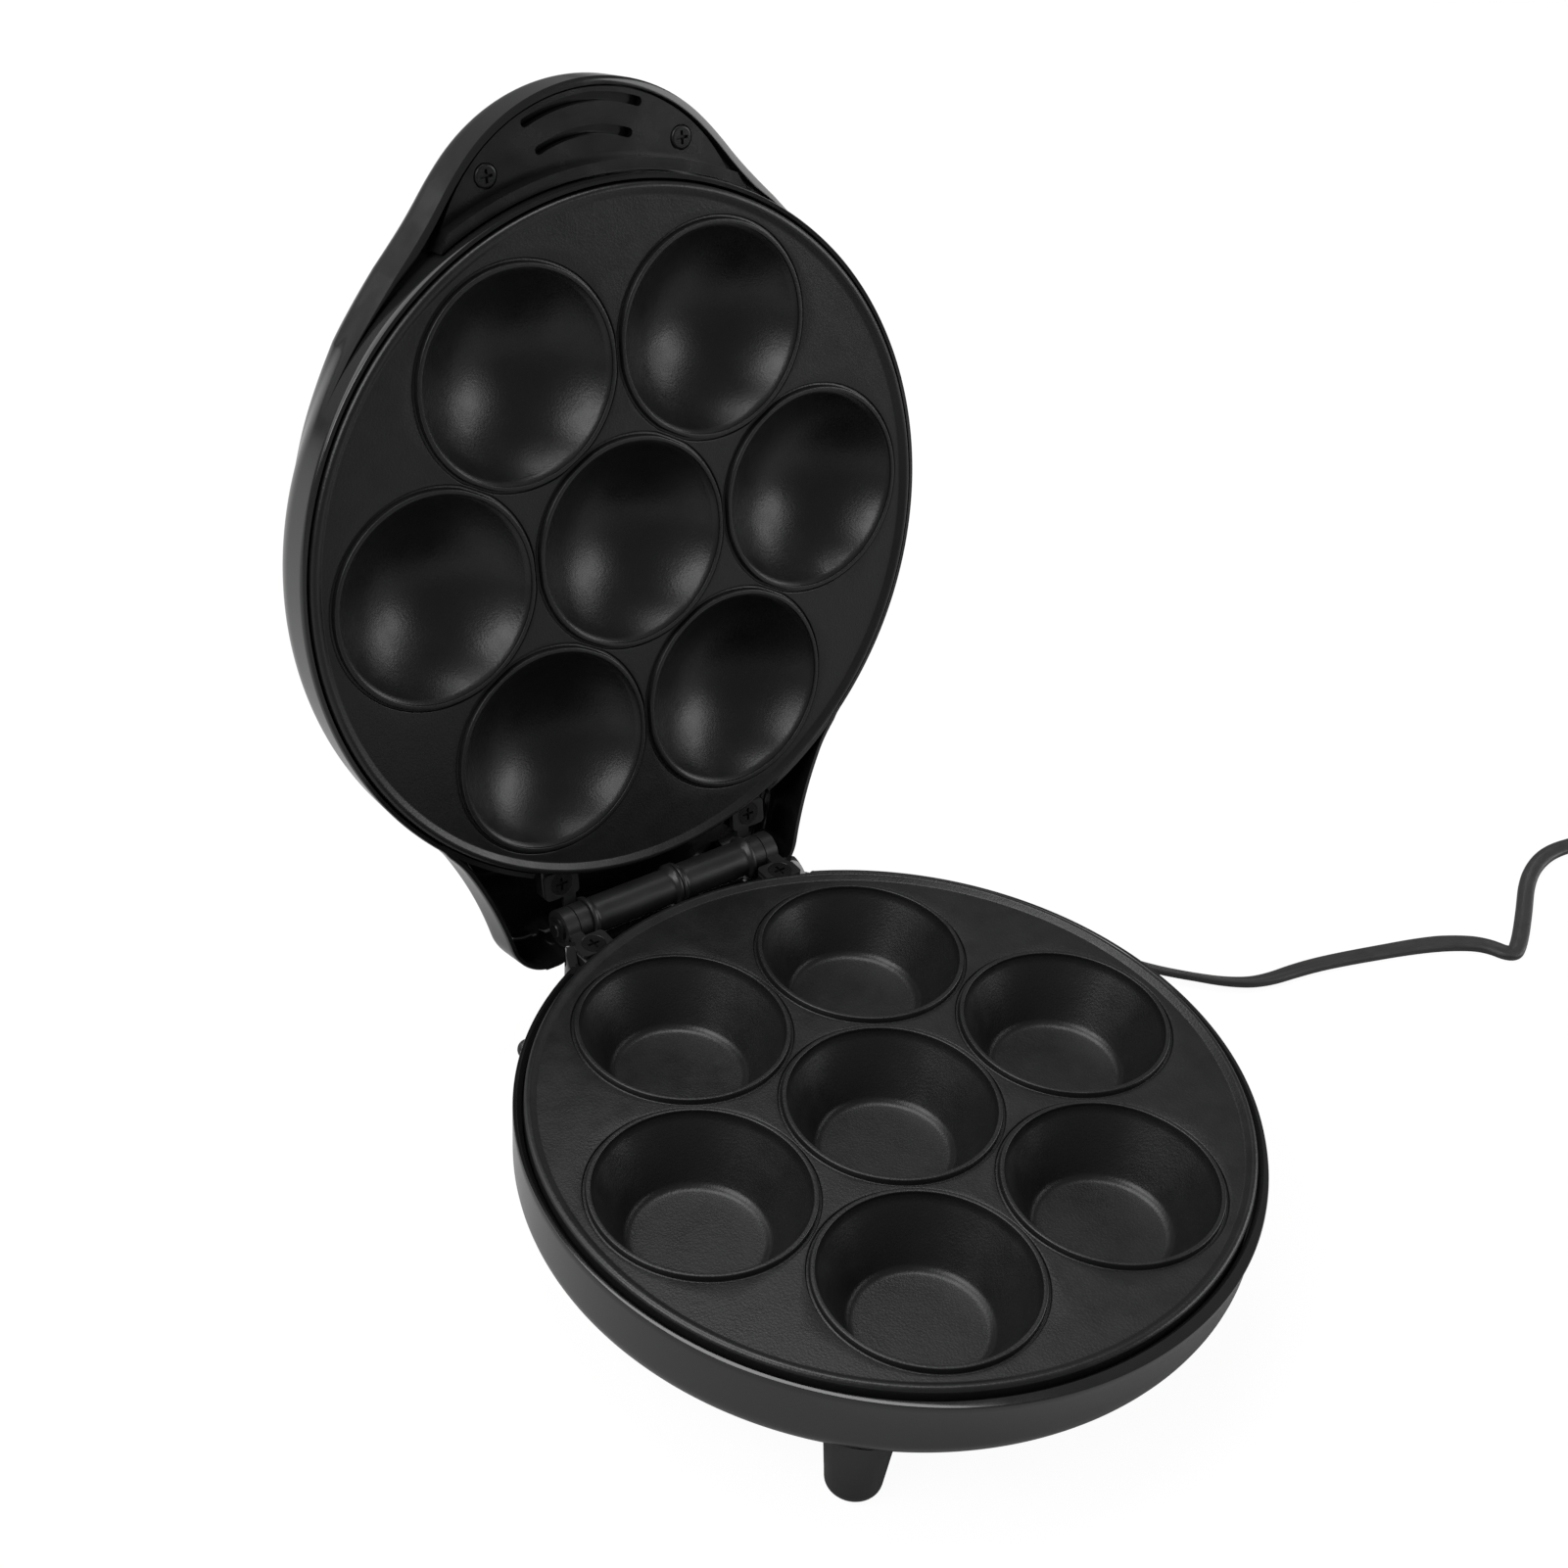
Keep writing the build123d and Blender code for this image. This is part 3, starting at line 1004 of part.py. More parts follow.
def make_hank():
    """Coiled rest of the lead as one ring, with its two ends."""
    low = CORD_D / 2
    ring = turned((HANK_R - CORD_D, 0.1), (HANK_R + CORD_D, 0.1), (HANK_R + CORD_D, CORD_D * 1.1),
                  (HANK_R + CORD_D * 0.6, CORD_D * 1.9), (HANK_R - CORD_D * 0.6, CORD_D * 1.9),
                  (HANK_R - CORD_D, CORD_D * 1.1))
    ring = Pos(HANK_C[0], HANK_C[1], 0) * ring
    lead_in = Pos(HANK_C[0] - HANK_LEAD, HANK_C[1] + HANK_R, low) * Rot(0, 90, 0) * can(
        CORD_D / 2, 0, HANK_LEAD)
    lead_out = Pos(HANK_C[0] + HANK_R, HANK_C[1], PLUG_H / 2) * Rot(90, 0, 0) * can(
        CORD_D / 2, 0, HANK_LEAD)
    return ring + [lead_in, lead_out]


def make_plug():
    """Moulded two-blade plug lying flat, nose towards -Y."""
    x = HANK_C[0] + HANK_R
    back = HANK_C[1] - HANK_LEAD
    levels = [(0, 7.2, 7.2), (0.3, 10.0, 9.0), (0.55, PLUG_W - 3, PLUG_H - 1.5), (1.0, PLUG_W, PLUG_H)]
    faces = []
    for share, wide, high in levels:
        plane = Plane(origin=(x, back - share * PLUG_L, PLUG_H / 2), x_dir=(1, 0, 0), z_dir=(0, -1, 0))
        faces.append(plane * RectangleRounded(wide, high, min(wide, high) * 0.38))
    return loft(faces, ruled=True)


def make_blades():
    x = HANK_C[0] + HANK_R
    face = HANK_C[1] - HANK_LEAD - PLUG_L
    blades = []
    for side in (-1, 1):
        middle = x + side * BLADE_SPACE / 2
        blade = slab(middle - 0.75, middle + 0.75, face - 15.9, face, PLUG_H / 2 - 3.15, PLUG_H / 2 + 3.15)
        blade -= Pos(middle, face - 12.0, PLUG_H / 2) * Rot(0, 90, 0) * Cylinder(1.6, 4)
        blades.append(chamfer(blade.edges().filter_by(Axis.Z).group_by(Axis.Y)[0], 0.5))
    return blades


def wire(points, radius=1.0):
    points = [Vector(*p) for p in points]
    path = FilletPolyline(*points, radius=corner_radii(points))
    section = Plane(origin=points[0], z_dir=points[1] - points[0]) * Circle(radius)
    return sweep(section, path=path)


def make_wiring():
    """Leads from the terminal block, up in front of it, to the tube's ends."""
    block = UNDER_Z - BOX_DROP + COVER_T + 4.0
    tube = LIP_Z - TUBE_DROP
    front = BOX_BACK - 17.1
    turn = BOX_FRONT + COVER_T + 3.5
    runs = []
    for side, x_block in ((-1, -16.0), (1, 0.0)):
        x_end = side * (TAIL_X + 1.8)
        runs.append(wire([
            (x_block, front, block), (x_block, front - 4.0, block),
            (x_block + side * 3, turn + 1.0, block + 3.0), (x_end + side * 7, turn, block + 9.0),
            (x_end + side * 6, turn + 1.5, tube - 4.0), (x_end + side * 3.4, turn + 5.5, tube - 0.6),
            (x_end, TAIL_END + 5.0, tube)]))
    return runs


# ---------------------------------------------------------------------- build
def main():
    save(make_base_housing(), "base_housing")
    save(make_bottom_cover(), "bottom_cover")
    save(make_foot_pads(), "foot_pads")
    save(make_lower_plate(), "lower_plate")
    save(make_upper_plate(), "upper_plate", lid=True)
    ring = heater()
    save(Pos(0, 0, LIP_Z - TUBE_DROP) * ring, "lower_heater")
    save(Pos(0, 0, TOP_LIP_Z + TUBE_DROP) * ring, "upper_heater", lid=True)
    straps, screws = clamp_set(False)
    save(straps, "lower_heater_clamps")
    save(screws, "lower_clamp_screws")
    straps, screws = clamp_set(True)
    save(straps, "upper_heater_clamps", lid=True)
    save(screws, "upper_clamp_screws", lid=True)
    save(make_reflector(), "reflector")
    save(make_thermostat(), "thermostat")
    save(make_terminal_block(), "terminal_block")
    save(make_tie_screws(), "tie_screws")
    save(make_wiring(), "base_wiring")
    save(both_sides(strap(LOWER_STRAP_Z, OUTER_X, True)), "lower_hinge_straps")
    save(both_sides(strap(UPPER_STRAP_Z, INNER_X, False)), "upper_hinge_straps", lid=True)
    save(screw_pair(LOWER_STRAP_Z + STRAP_T, True), "lower_ear_screws")
    save(screw_pair(UPPER_STRAP_Z, False), "upper_ear_screws", lid=True)
    save(make_pin(), "hinge_pin")
    save(make_clips(), "hinge_clips")
    save(sleeve(-INNER_X[0] + KNUCKLE_GAP, SLEEVE_SPLIT - KNUCKLE_GAP / 2), "hinge_sleeve_left")
    save(sleeve(SLEEVE_SPLIT + KNUCKLE_GAP / 2, INNER_X[0] - KNUCKLE_GAP), "hinge_sleeve_right", lid=True)
    save(make_lid_shell(), "lid_shell", lid=True)
    save(make_handle_cover(), "handle_cover", lid=True)
    save(make_handle_screws(), "handle_screws", lid=True)
    save(make_lens(-1), "power_lamp_lens", lid=True)
    save(make_lens(1), "ready_lamp_lens", lid=True)
    save(make_boot(), "strain_relief")
    save(make_cord(), "cord")
    save(make_hank(), "cord_coil")
    save(make_plug(), "plug_body")
    save(make_blades(), "plug_blades")


if __name__ == "__main__":
    main()
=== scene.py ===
"""Countertop maker for small round cakes, dressed over its CAD frame.

Everything is in metres, in the frame of the solids: +Z up, +Y towards the hinge, the origin on
the worktop under the middle of the lower plate.
"""
from __future__ import annotations

import logging
import math
from dataclasses import dataclass, field
from enum import Enum

import bpy
import numpy as np
from mathutils import Matrix


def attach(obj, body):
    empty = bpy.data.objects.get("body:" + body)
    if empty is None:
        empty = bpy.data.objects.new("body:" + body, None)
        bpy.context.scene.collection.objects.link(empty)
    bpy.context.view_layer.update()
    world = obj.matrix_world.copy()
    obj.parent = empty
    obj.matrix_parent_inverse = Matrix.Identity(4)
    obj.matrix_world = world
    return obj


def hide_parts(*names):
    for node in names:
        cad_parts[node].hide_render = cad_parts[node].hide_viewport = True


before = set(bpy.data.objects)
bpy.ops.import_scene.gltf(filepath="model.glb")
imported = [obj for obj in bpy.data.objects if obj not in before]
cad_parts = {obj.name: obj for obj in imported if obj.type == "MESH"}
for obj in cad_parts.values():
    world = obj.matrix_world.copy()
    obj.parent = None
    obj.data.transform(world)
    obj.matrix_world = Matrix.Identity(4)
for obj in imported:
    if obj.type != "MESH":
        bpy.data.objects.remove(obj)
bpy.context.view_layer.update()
log = logging.getLogger("cake_maker")
MM = 0.001
TAU = 2.0 * math.pi

# ------------------------------------------------------------------ shared sizes, millimetres
LIP_Z = 43.0
PLATE_R = 96.5
HINGE_Y = 105.5
HINGE_Z = 41.0
OPEN_ANGLE = 102.7
LID_GAP = 0.4
CUP_PITCH = 61.0
FAR_OFF = 50.0          # a distance too great to count in a join


class Pose(Enum):
    """Where a mesh is worked out before it goes to its place at rest."""

    FIXED = "fixed"
    LID = "lid"


class Side(Enum):
    """Which way the hollows of a plate face when the maker is shut."""

    UP = 1
    DOWN = -1


# ------------------------------------------------------------------------------ mesh tools
def lid_open(points: np.ndarray) -> np.ndarray:
    """Turn points of the shut lid up to its open rest.

    Formula: a rotation about the hinge axis, a line along X, by minus the opening angle.

    Args:
        points: n x 3 array in millimetres, drawn with the lid shut.

    Returns:
        The same points with the lid open.
    """
    turn = math.radians(OPEN_ANGLE)
    dy = points[:, 1] - HINGE_Y
    dz = points[:, 2] - HINGE_Z
    out = points.copy()
    out[:, 1] = HINGE_Y + dy * math.cos(turn) + dz * math.sin(turn)
    out[:, 2] = HINGE_Z - dy * math.sin(turn) + dz * math.cos(turn)
    return out


@dataclass
class MeshData:
    """Vertices in millimetres and faces as index arrays, gathered part by part."""

    points: list[np.ndarray] = field(default_factory=list)
    quads: list[np.ndarray] = field(default_factory=list)
    tris: list[np.ndarray] = field(default_factory=list)
    count: int = 0

    def add(
        self,
        points: np.ndarray,
        quads: np.ndarray | None = None,
        tris: np.ndarray | None = None,
    ) -> None:
        """Append one part.

        Args:
            points: n x 3 vertices.
            quads: m x 4 indices into points, or None.
            tris: k x 3 indices into points, or None.
        """
        if quads is not None and len(quads):
            self.quads.append(np.asarray(quads, dtype=np.int64) + self.count)
        if tris is not None and len(tris):
            self.tris.append(np.asarray(tris, dtype=np.int64) + self.count)
        self.points.append(np.asarray(points, dtype=float))
        self.count += len(points)

    def grid(
        self,
        rows: np.ndarray,
        wrap: bool = True,
        flip: bool = False,
        rings: bool = False,
    ) -> None:
        """Append a grid of points as quads.

        Args:
            rows: r x c x 3 array; r runs along the profile and c round the shape.
            wrap: join the last column to the first.
            flip: turn the faces over.
            rings: join the last row to the first as well.
        """
        r, c, _ = rows.shape
        i = np.arange(r if rings else r - 1)[:, None]
        j = np.arange(c if wrap else c - 1)[None, :]
        a = i * c + j
        b = i * c + (j + 1) % c
        d = ((i + 1) % r) * c + j
        e = ((i + 1) % r) * c + (j + 1) % c
        quads = np.stack([a, b, e, d], axis=-1).reshape(-1, 4)
        self.add(rows.reshape(-1, 3), quads[:, ::-1] if flip else quads)

    def take(self, other: "MeshData") -> None:
        """Append all parts of another mesh.

        Args:
            other: the mesh to append.
        """
        self.quads += [quads + self.count for quads in other.quads]
        self.tris += [tris + self.count for tris in other.tris]
        self.points += other.points
        self.count += other.count

    def outward(self) -> "MeshData":
        """Turn all faces over if the closed mesh faces inwards.

        Formula: the sign of the volume, a sixth of the sum of the triple products of each
        triangle's corners.

        Returns:
            This mesh.
        """
        points = np.concatenate(self.points)
        tris = list(self.tris)
        for quads in self.quads:
            tris += [quads[:, [0, 1, 2]], quads[:, [0, 2, 3]]]
        corners = points[np.concatenate(tris)]
        volume = np.einsum("ij,ij->", corners[:, 0], np.cross(corners[:, 1], corners[:, 2]))
        if volume < 0:
            self.quads = [quads[:, ::-1] for quads in self.quads]
            self.tris = [t[:, ::-1] for t in self.tris]
        return self

    def cap(self, ring: np.ndarray, middle: np.ndarray, flip: bool = False) -> None:
        """Close one end with a fan of triangles.

        Args:
            ring: n x 3 points round the end.
            middle: the point that the fan starts from.
            flip: turn the faces over.
        """
        i = np.arange(len(ring))
        tris = np.stack([np.zeros_like(i), 1 + i, 1 + (i + 1) % len(i)], axis=-1)
        self.add(np.concatenate([middle[None], ring]), tris=tris[:, ::-1] if flip else tris)

    def bar(self, lines: np.ndarray) -> None:
        """Append a solid bar from the lines that run along it.

        Formula: quads between neighbouring lines, and a fan from the middle over each end.

        Args:
            lines: k x n x 3 array, k lines round the bar, n points along it.
        """
        self.grid(lines, wrap=False, rings=True)
        for end, flip in ((0, False), (-1, True)):
            self.cap(lines[:, end], lines[:, end].mean(axis=0), flip)

    def slab(self, plan: np.ndarray, low: float, high: float, edge: float) -> None:
        """Append an upright prism with softened edges.

        Formula: the plan, run anticlockwise, at four heights, drawn in by the edge at the two
        outer ones, and a fan from its middle over each end.

        Args:
            plan: n x 2 outline of a convex shape.
            low: height of its foot.
            high: height of its top.
            edge: how far its edges are cut back.
        """
        inner = plan - path_normals(plan) * edge
        rows = np.stack([
            np.c_[inner, np.full(len(plan), low)],
            np.c_[plan, np.full(len(plan), low + edge)],
            np.c_[plan, np.full(len(plan), high - edge)],
            np.c_[inner, np.full(len(plan), high)],
        ])
        self.grid(rows)
        middle = plan.mean(axis=0)
        for row, z, flip in ((rows[-1], high, False), (rows[0], low, True)):
            self.cap(row, np.array([*middle, z]), flip)


def make_object(
    name: str,
    data: MeshData,
    finish: bpy.types.Material,
    body: str,
    pose: Pose = Pose.FIXED,
    sharp: float = 32.0,
    merge: float = 0.002,
) -> bpy.types.Object:
    """Make one finished mesh object from its parts.

    Args:
        name: name of the object.
        data: the parts, in millimetres.
        finish: its material.
        body: the CAD body that it rides on.
        pose: LID if the points are drawn with the lid shut.
        sharp: angle in degrees above which an edge stays crisp.
        merge: distance in millimetres under which points are one.

    Returns:
        The object, riding on its body.
    """
    points = np.concatenate(data.points)
    if pose is Pose.LID:
        points = lid_open(points)
    key = np.round(points / merge).astype(np.int64)
    _, first, back = np.unique(key, axis=0, return_index=True, return_inverse=True)
    back = back.reshape(-1)
    faces: list[list[int]] = []
    if data.quads:
        quads = back[np.concatenate(data.quads)]
        same = quads == np.roll(quads, -1, axis=1)
        full = quads[~same.any(axis=1)]
        once = quads[same.sum(axis=1) == 1]
        mask = same[same.sum(axis=1) == 1]
        faces += full.tolist()
        faces += once[~mask].reshape(-1, 3).tolist()
    if data.tris:
        tris = back[np.concatenate(data.tris)]
        same = tris == np.roll(tris, -1, axis=1)
        faces += tris[~same.any(axis=1)].tolist()
    mesh = bpy.data.meshes.new(name)
    mesh.from_pydata((points[first] * MM).tolist(), [], faces)
    mesh.validate()
    mesh.update()
    mesh.shade_smooth()
    mesh.set_sharp_from_angle(angle=math.radians(sharp))
    mesh.materials.append(finish)
    piece = bpy.data.objects.new(name, mesh)
    bpy.context.scene.collection.objects.link(piece)
    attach(piece, body)
    log.info("%s: %d points", name, len(mesh.vertices))
    return piece


def arc_points(
    centre: tuple[float, float],
    radius: float,
    start: float,
    end: float,
    count: int,
) -> np.ndarray:
    """Points on an arc: centre plus radius times (cos, sin) of evenly spaced angles.

    Args:
        centre: middle of the arc.
        radius: its radius.
        start: first angle in degrees.
        end: last angle in degrees.
        count: number of points.

    Returns:
        count x 2 array.
    """
    t = np.radians(np.linspace(start, end, count))
    return np.stack([centre[0] + radius * np.cos(t), centre[1] + radius * np.sin(t)], axis=-1)


def round_corners(
    points: list[tuple[float, float, float]],
    per: int = 6,
    closed: bool = False,
) -> np.ndarray:
    """Round the corners of a polyline with small curves.

    Formula: each corner is a quadratic curve between the points one radius back and one ahead,
    limited to 0.45 of either side.

    Args:
        points: corners, each two coordinates and a radius.
        per: points per corner.
        closed: the line ends where it starts.

    Returns:
        n x 2 array.
    """
    p = np.array([q[:2] for q in points], dtype=float)
    rad = np.array([q[2] for q in points])
    prev = np.roll(p, 1, axis=0)
    nxt = np.roll(p, -1, axis=0)
    back = prev - p
    ahead = nxt - p
    lb = np.linalg.norm(back, axis=1)
    la = np.linalg.norm(ahead, axis=1)
    cut = np.minimum(rad, 0.45 * np.minimum(lb, la))
    if not closed:
        cut[0] = cut[-1] = 0.0
    a = p + back / np.maximum(lb, 1e-9)[:, None] * cut[:, None]
    b = p + ahead / np.maximum(la, 1e-9)[:, None] * cut[:, None]
    t = np.linspace(0, 1, per)[None, :, None]
    curve = (1 - t) ** 2 * a[:, None] + 2 * t * (1 - t) * p[:, None] + t**2 * b[:, None]
    flat = curve.reshape(-1, 2)
    keep = np.r_[True, np.linalg.norm(np.diff(flat, axis=0), axis=1) > 1e-6]
    return flat[keep]


def rounded_plan(
    x0: float,
    x1: float,
    y0: float,
    y1: float,
    radius: float,
    per: int = 6,
) -> np.ndarray:
    """Plan of a rectangle with round corners, run anticlockwise.

    Formula: a quarter arc about each corner's centre, one after the other.

    Args:
        x0: left side.
        x1: right side.
        y0: front side.
        y1: back side.
        radius: of the corners.
        per: points per corner.

    Returns:
        n x 2 array.
    """
    parts = [
        arc_points((x1 - radius, y0 + radius), radius, -90.0, 0.0, per),
        arc_points((x1 - radius, y1 - radius), radius, 0.0, 90.0, per),
        arc_points((x0 + radius, y1 - radius), radius, 90.0, 180.0, per),
        arc_points((x0 + radius, y0 + radius), radius, 180.0, 270.0, per),
    ]
    return np.concatenate(parts)


def path_normals(path: np.ndarray) -> np.ndarray:
    """Level normals of a closed plan path, to its right as it runs.

    Formula: the tangent, from the neighbours on both sides, turned by minus a quarter turn.

    Args:
        path: n x 2 points.

    Returns:
        n x 2 unit vectors.
    """
    along = np.roll(path, -1, axis=0) - np.roll(path, 1, axis=0)
    along /= np.maximum(np.linalg.norm(along, axis=1), 1e-12)[:, None]
    return np.stack([along[:, 1], -along[:, 0]], axis=-1)


# -------------------------------------------------------------------------------- finishes
class Nodes:
    """Short-hand for building a material's node tree."""

    def __init__(self, name: str) -> None:
        """Start an empty material with a Principled shader.

        Args:
            name: name of the material.
        """
        self.material = bpy.data.materials.new(name)
        self.material.use_nodes = True
        self.tree = self.material.node_tree
        self.tree.nodes.clear()
        self.out = self.tree.nodes.new("ShaderNodeOutputMaterial")
        self.shader = self.tree.nodes.new("ShaderNodeBsdfPrincipled")
        self.link(self.shader.outputs["BSDF"], self.out.inputs["Surface"])
        self.place = self.tree.nodes.new("ShaderNodeTexCoord")

    def link(self, a: bpy.types.NodeSocket, b: bpy.types.NodeSocket) -> None:
        """Join two sockets."""
        self.tree.links.new(a, b)

    def set(self, **values: object) -> None:
        """Set constants on the shader's own sockets, with underscores for spaces."""
        for key, value in values.items():
            self.shader.inputs[key.replace("_", " ")].default_value = value

    def noise(
        self,
        scale: float,
        detail: float = 3.0,
        rough: float = 0.55,
        stretch: tuple[float, float, float] | None = None,
    ) -> bpy.types.NodeSocket:
        """Noise over Object coordinates.

        Args:
            scale: cells per metre.
            detail: octaves.
            rough: share of the finer octaves.
            stretch: scale of each axis, or None.

        Returns:
            The noise value socket.
        """
        node = self.tree.nodes.new("ShaderNodeTexNoise")
        node.inputs["Scale"].default_value = scale
        node.inputs["Detail"].default_value = detail
        node.inputs["Roughness"].default_value = rough
        source = self.place.outputs["Object"]
        if stretch is not None:
            turn = self.tree.nodes.new("ShaderNodeMapping")
            turn.inputs["Scale"].default_value = stretch
            self.link(source, turn.inputs["Vector"])
            source = turn.outputs["Vector"]
        self.link(source, node.inputs["Vector"])
        return node.outputs["Fac"]

    def cells(self, scale: float) -> bpy.types.NodeSocket:
        """Distance to the nearest of scattered points.

        Args:
            scale: cells per metre.

        Returns:
            The distance socket.
        """
        node = self.tree.nodes.new("ShaderNodeTexVoronoi")
        node.inputs["Scale"].default_value = scale
        self.link(self.place.outputs["Object"], node.inputs["Vector"])
        return node.outputs["Distance"]

    def remap(
        self,
        value: bpy.types.NodeSocket,
        low: float,
        high: float,
        to_low: float,
        to_high: float,
    ) -> bpy.types.NodeSocket:
        """Map one range of a value to another, clamped.

        Args:
            value: the socket to read.
            low: start of its range.
            high: end of its range.
            to_low: what low becomes.
            to_high: what high becomes.

        Returns:
            The mapped socket.
        """
        node = self.tree.nodes.new("ShaderNodeMapRange")
        ends = {"From Min": low, "From Max": high, "To Min": to_low, "To Max": to_high}
        for key, number in ends.items():
            node.inputs[key].default_value = number
        self.link(value, node.inputs["Value"])
        return node.outputs["Result"]

    def colour(self, factor: bpy.types.NodeSocket, a: tuple[float, ...], b: tuple[float, ...]) -> None:
        """Blend the base colour between two colours.

        Args:
            factor: the socket that blends.
            a: the colour where it is 0.
            b: the colour where it is 1.
        """
        node = self.tree.nodes.new("ShaderNodeMix")
        node.data_type = "RGBA"
        node.inputs["A"].default_value = (*a, 1.0)
        node.inputs["B"].default_value = (*b, 1.0)
        self.link(factor, node.inputs["Factor"])
        self.link(node.outputs["Result"], self.shader.inputs["Base Color"])

    def bump(self, *layers: tuple[bpy.types.NodeSocket, float, float]) -> None:
        """Stack bumps on the shader's normal.

        Args:
            layers: each a height socket, a strength and a distance in metres.
        """
        last = None
        for height, strength, distance in layers:
            node = self.tree.nodes.new("ShaderNodeBump")
            node.inputs["Strength"].default_value = strength
            node.inputs["Distance"].default_value = distance
            self.link(height, node.inputs["Height"])
            if last is not None:
                self.link(last, node.inputs["Normal"])
            last = node.outputs["Normal"]
        self.link(last, self.shader.inputs["Normal"])


@dataclass(frozen=True)
class GlossPlastic:
    """Polished black moulding with faint waviness and fine rub marks."""

    name: str
    tone: tuple[float, float, float] = (0.0065, 0.0065, 0.0068)
    rough: tuple[float, float] = (0.10, 0.20)

    def build(self) -> bpy.types.Material:
        """Make the material.

        Returns:
            The material, its grain on Object coordinates.
        """
        n = Nodes(self.name)
        n.set(IOR=1.49, Coat_Weight=0.25, Coat_Roughness=0.06)
        rub = n.noise(90.0, 5.0, 0.6)
        n.link(n.remap(rub, 0.35, 0.75, *self.rough), n.shader.inputs["Roughness"])
        tint = tuple(c * 1.5 for c in self.tone)
        n.colour(n.noise(22.0, 2.0), self.tone, tint)
        n.bump((n.noise(28.0, 1.0, 0.3), 0.10, 0.0006), (n.noise(2600.0, 2.0, 0.5), 0.05, 0.00004))
        return n.material


@dataclass(frozen=True)
class NonStick:
    """Satin black non-stick coating on cast metal, with its fine pebble and faint specks."""

    name: str
    tone: tuple[float, float, float] = (0.0075, 0.0075, 0.008)
    rough: tuple[float, float] = (0.30, 0.40)
    pebble: float = 0.22

    def build(self) -> bpy.types.Material:
        """Make the material.

        Returns:
            The material, its grain on Object coordinates.
        """
        n = Nodes(self.name)
        n.set(IOR=1.46)
        n.link(n.remap(n.noise(140.0, 4.0), 0.3, 0.7, *self.rough), n.shader.inputs["Roughness"])
        speck = n.remap(n.noise(3800.0, 2.0, 0.7), 0.62, 0.78, 0.0, 1.0)
        n.colour(speck, self.tone, tuple(c * 3.0 for c in self.tone))
        n.bump(
            (n.cells(1500.0), self.pebble, 0.00012),
            (n.noise(420.0, 3.0, 0.6), 0.14, 0.0002),
        )
        return n.material


@dataclass(frozen=True)
class GrainPlastic:
    """Fine-grained black moulding."""

    name: str
    tone: tuple[float, float, float] = (0.010, 0.010, 0.0105)
    rough: tuple[float, float] = (0.30, 0.42)
    grain: float = 0.25

    def build(self) -> bpy.types.Material:
        """Make the material.

        Returns:
            The material, its grain on Object coordinates.
        """
        n = Nodes(self.name)
        n.set(IOR=1.49)
        n.link(n.remap(n.noise(120.0, 4.0), 0.3, 0.7, *self.rough), n.shader.inputs["Roughness"])
        n.colour(n.noise(60.0, 3.0), self.tone, tuple(c * 1.6 for c in self.tone))
        n.bump((n.cells(2200.0), self.grain, 0.00006), (n.noise(300.0, 2.0), 0.1, 0.0001))
        return n.material


@dataclass(frozen=True)
class Metal:
    """Metal with drawn or plated streaks."""

    name: str
    tone: tuple[float, float, float]
    rough: tuple[float, float] = (0.25, 0.45)
    metallic: float = 1.0
    streak: tuple[float, float, float] = (1.0, 1.0, 1.0)
    dirt: float = 0.6

    def build(self) -> bpy.types.Material:
        """Make the material.

        Returns:
            The material, its grain on Object coordinates.
        """
        n = Nodes(self.name)
        n.set(Metallic=self.metallic)
        streak = n.noise(900.0, 4.0, 0.6, self.streak)
        n.link(n.remap(streak, 0.3, 0.7, *self.rough), n.shader.inputs["Roughness"])
        stain = n.remap(n.noise(160.0, 4.0), 0.35, 0.75, 0.0, 1.0)
        n.colour(stain, self.tone, tuple(c * self.dirt for c in self.tone))
        n.bump((streak, 0.12, 0.00005), (n.noise(240.0, 3.0), 0.08, 0.0001))
        return n.material


@dataclass(frozen=True)
class Rubber:
    """Soft black jacket or pad with a dusty bloom."""

    name: str
    tone: tuple[float, float, float] = (0.012, 0.012, 0.012)
    rough: tuple[float, float] = (0.38, 0.55)

    def build(self) -> bpy.types.Material:
        """Make the material.

        Returns:
            The material, its grain on Object coordinates.
        """
        n = Nodes(self.name)
        n.set(IOR=1.5, Sheen_Weight=0.05, Sheen_Roughness=0.5)
        n.link(n.remap(n.noise(300.0, 4.0), 0.3, 0.7, *self.rough), n.shader.inputs["Roughness"])
        n.colour(n.noise(110.0, 4.0), self.tone, tuple(c * 1.8 for c in self.tone))
        n.bump((n.noise(1600.0, 3.0, 0.6), 0.16, 0.00006))
        return n.material


@dataclass(frozen=True)
class ClearTint:
    """Tinted clear plastic of a lamp lens, with moulded facets inside."""

    name: str
    tone: tuple[float, float, float]

    def build(self) -> bpy.types.Material:
        """Make the material.

        Returns:
            The material, its grain on Object coordinates.
        """
        n = Nodes(self.name)
        n.set(IOR=1.49, Roughness=0.08, Transmission_Weight=0.35)
        n.colour(n.noise(500.0, 2.0), self.tone, tuple(c * 0.6 for c in self.tone))
        n.bump((n.cells(1400.0), 0.2, 0.0001))
        return n.material


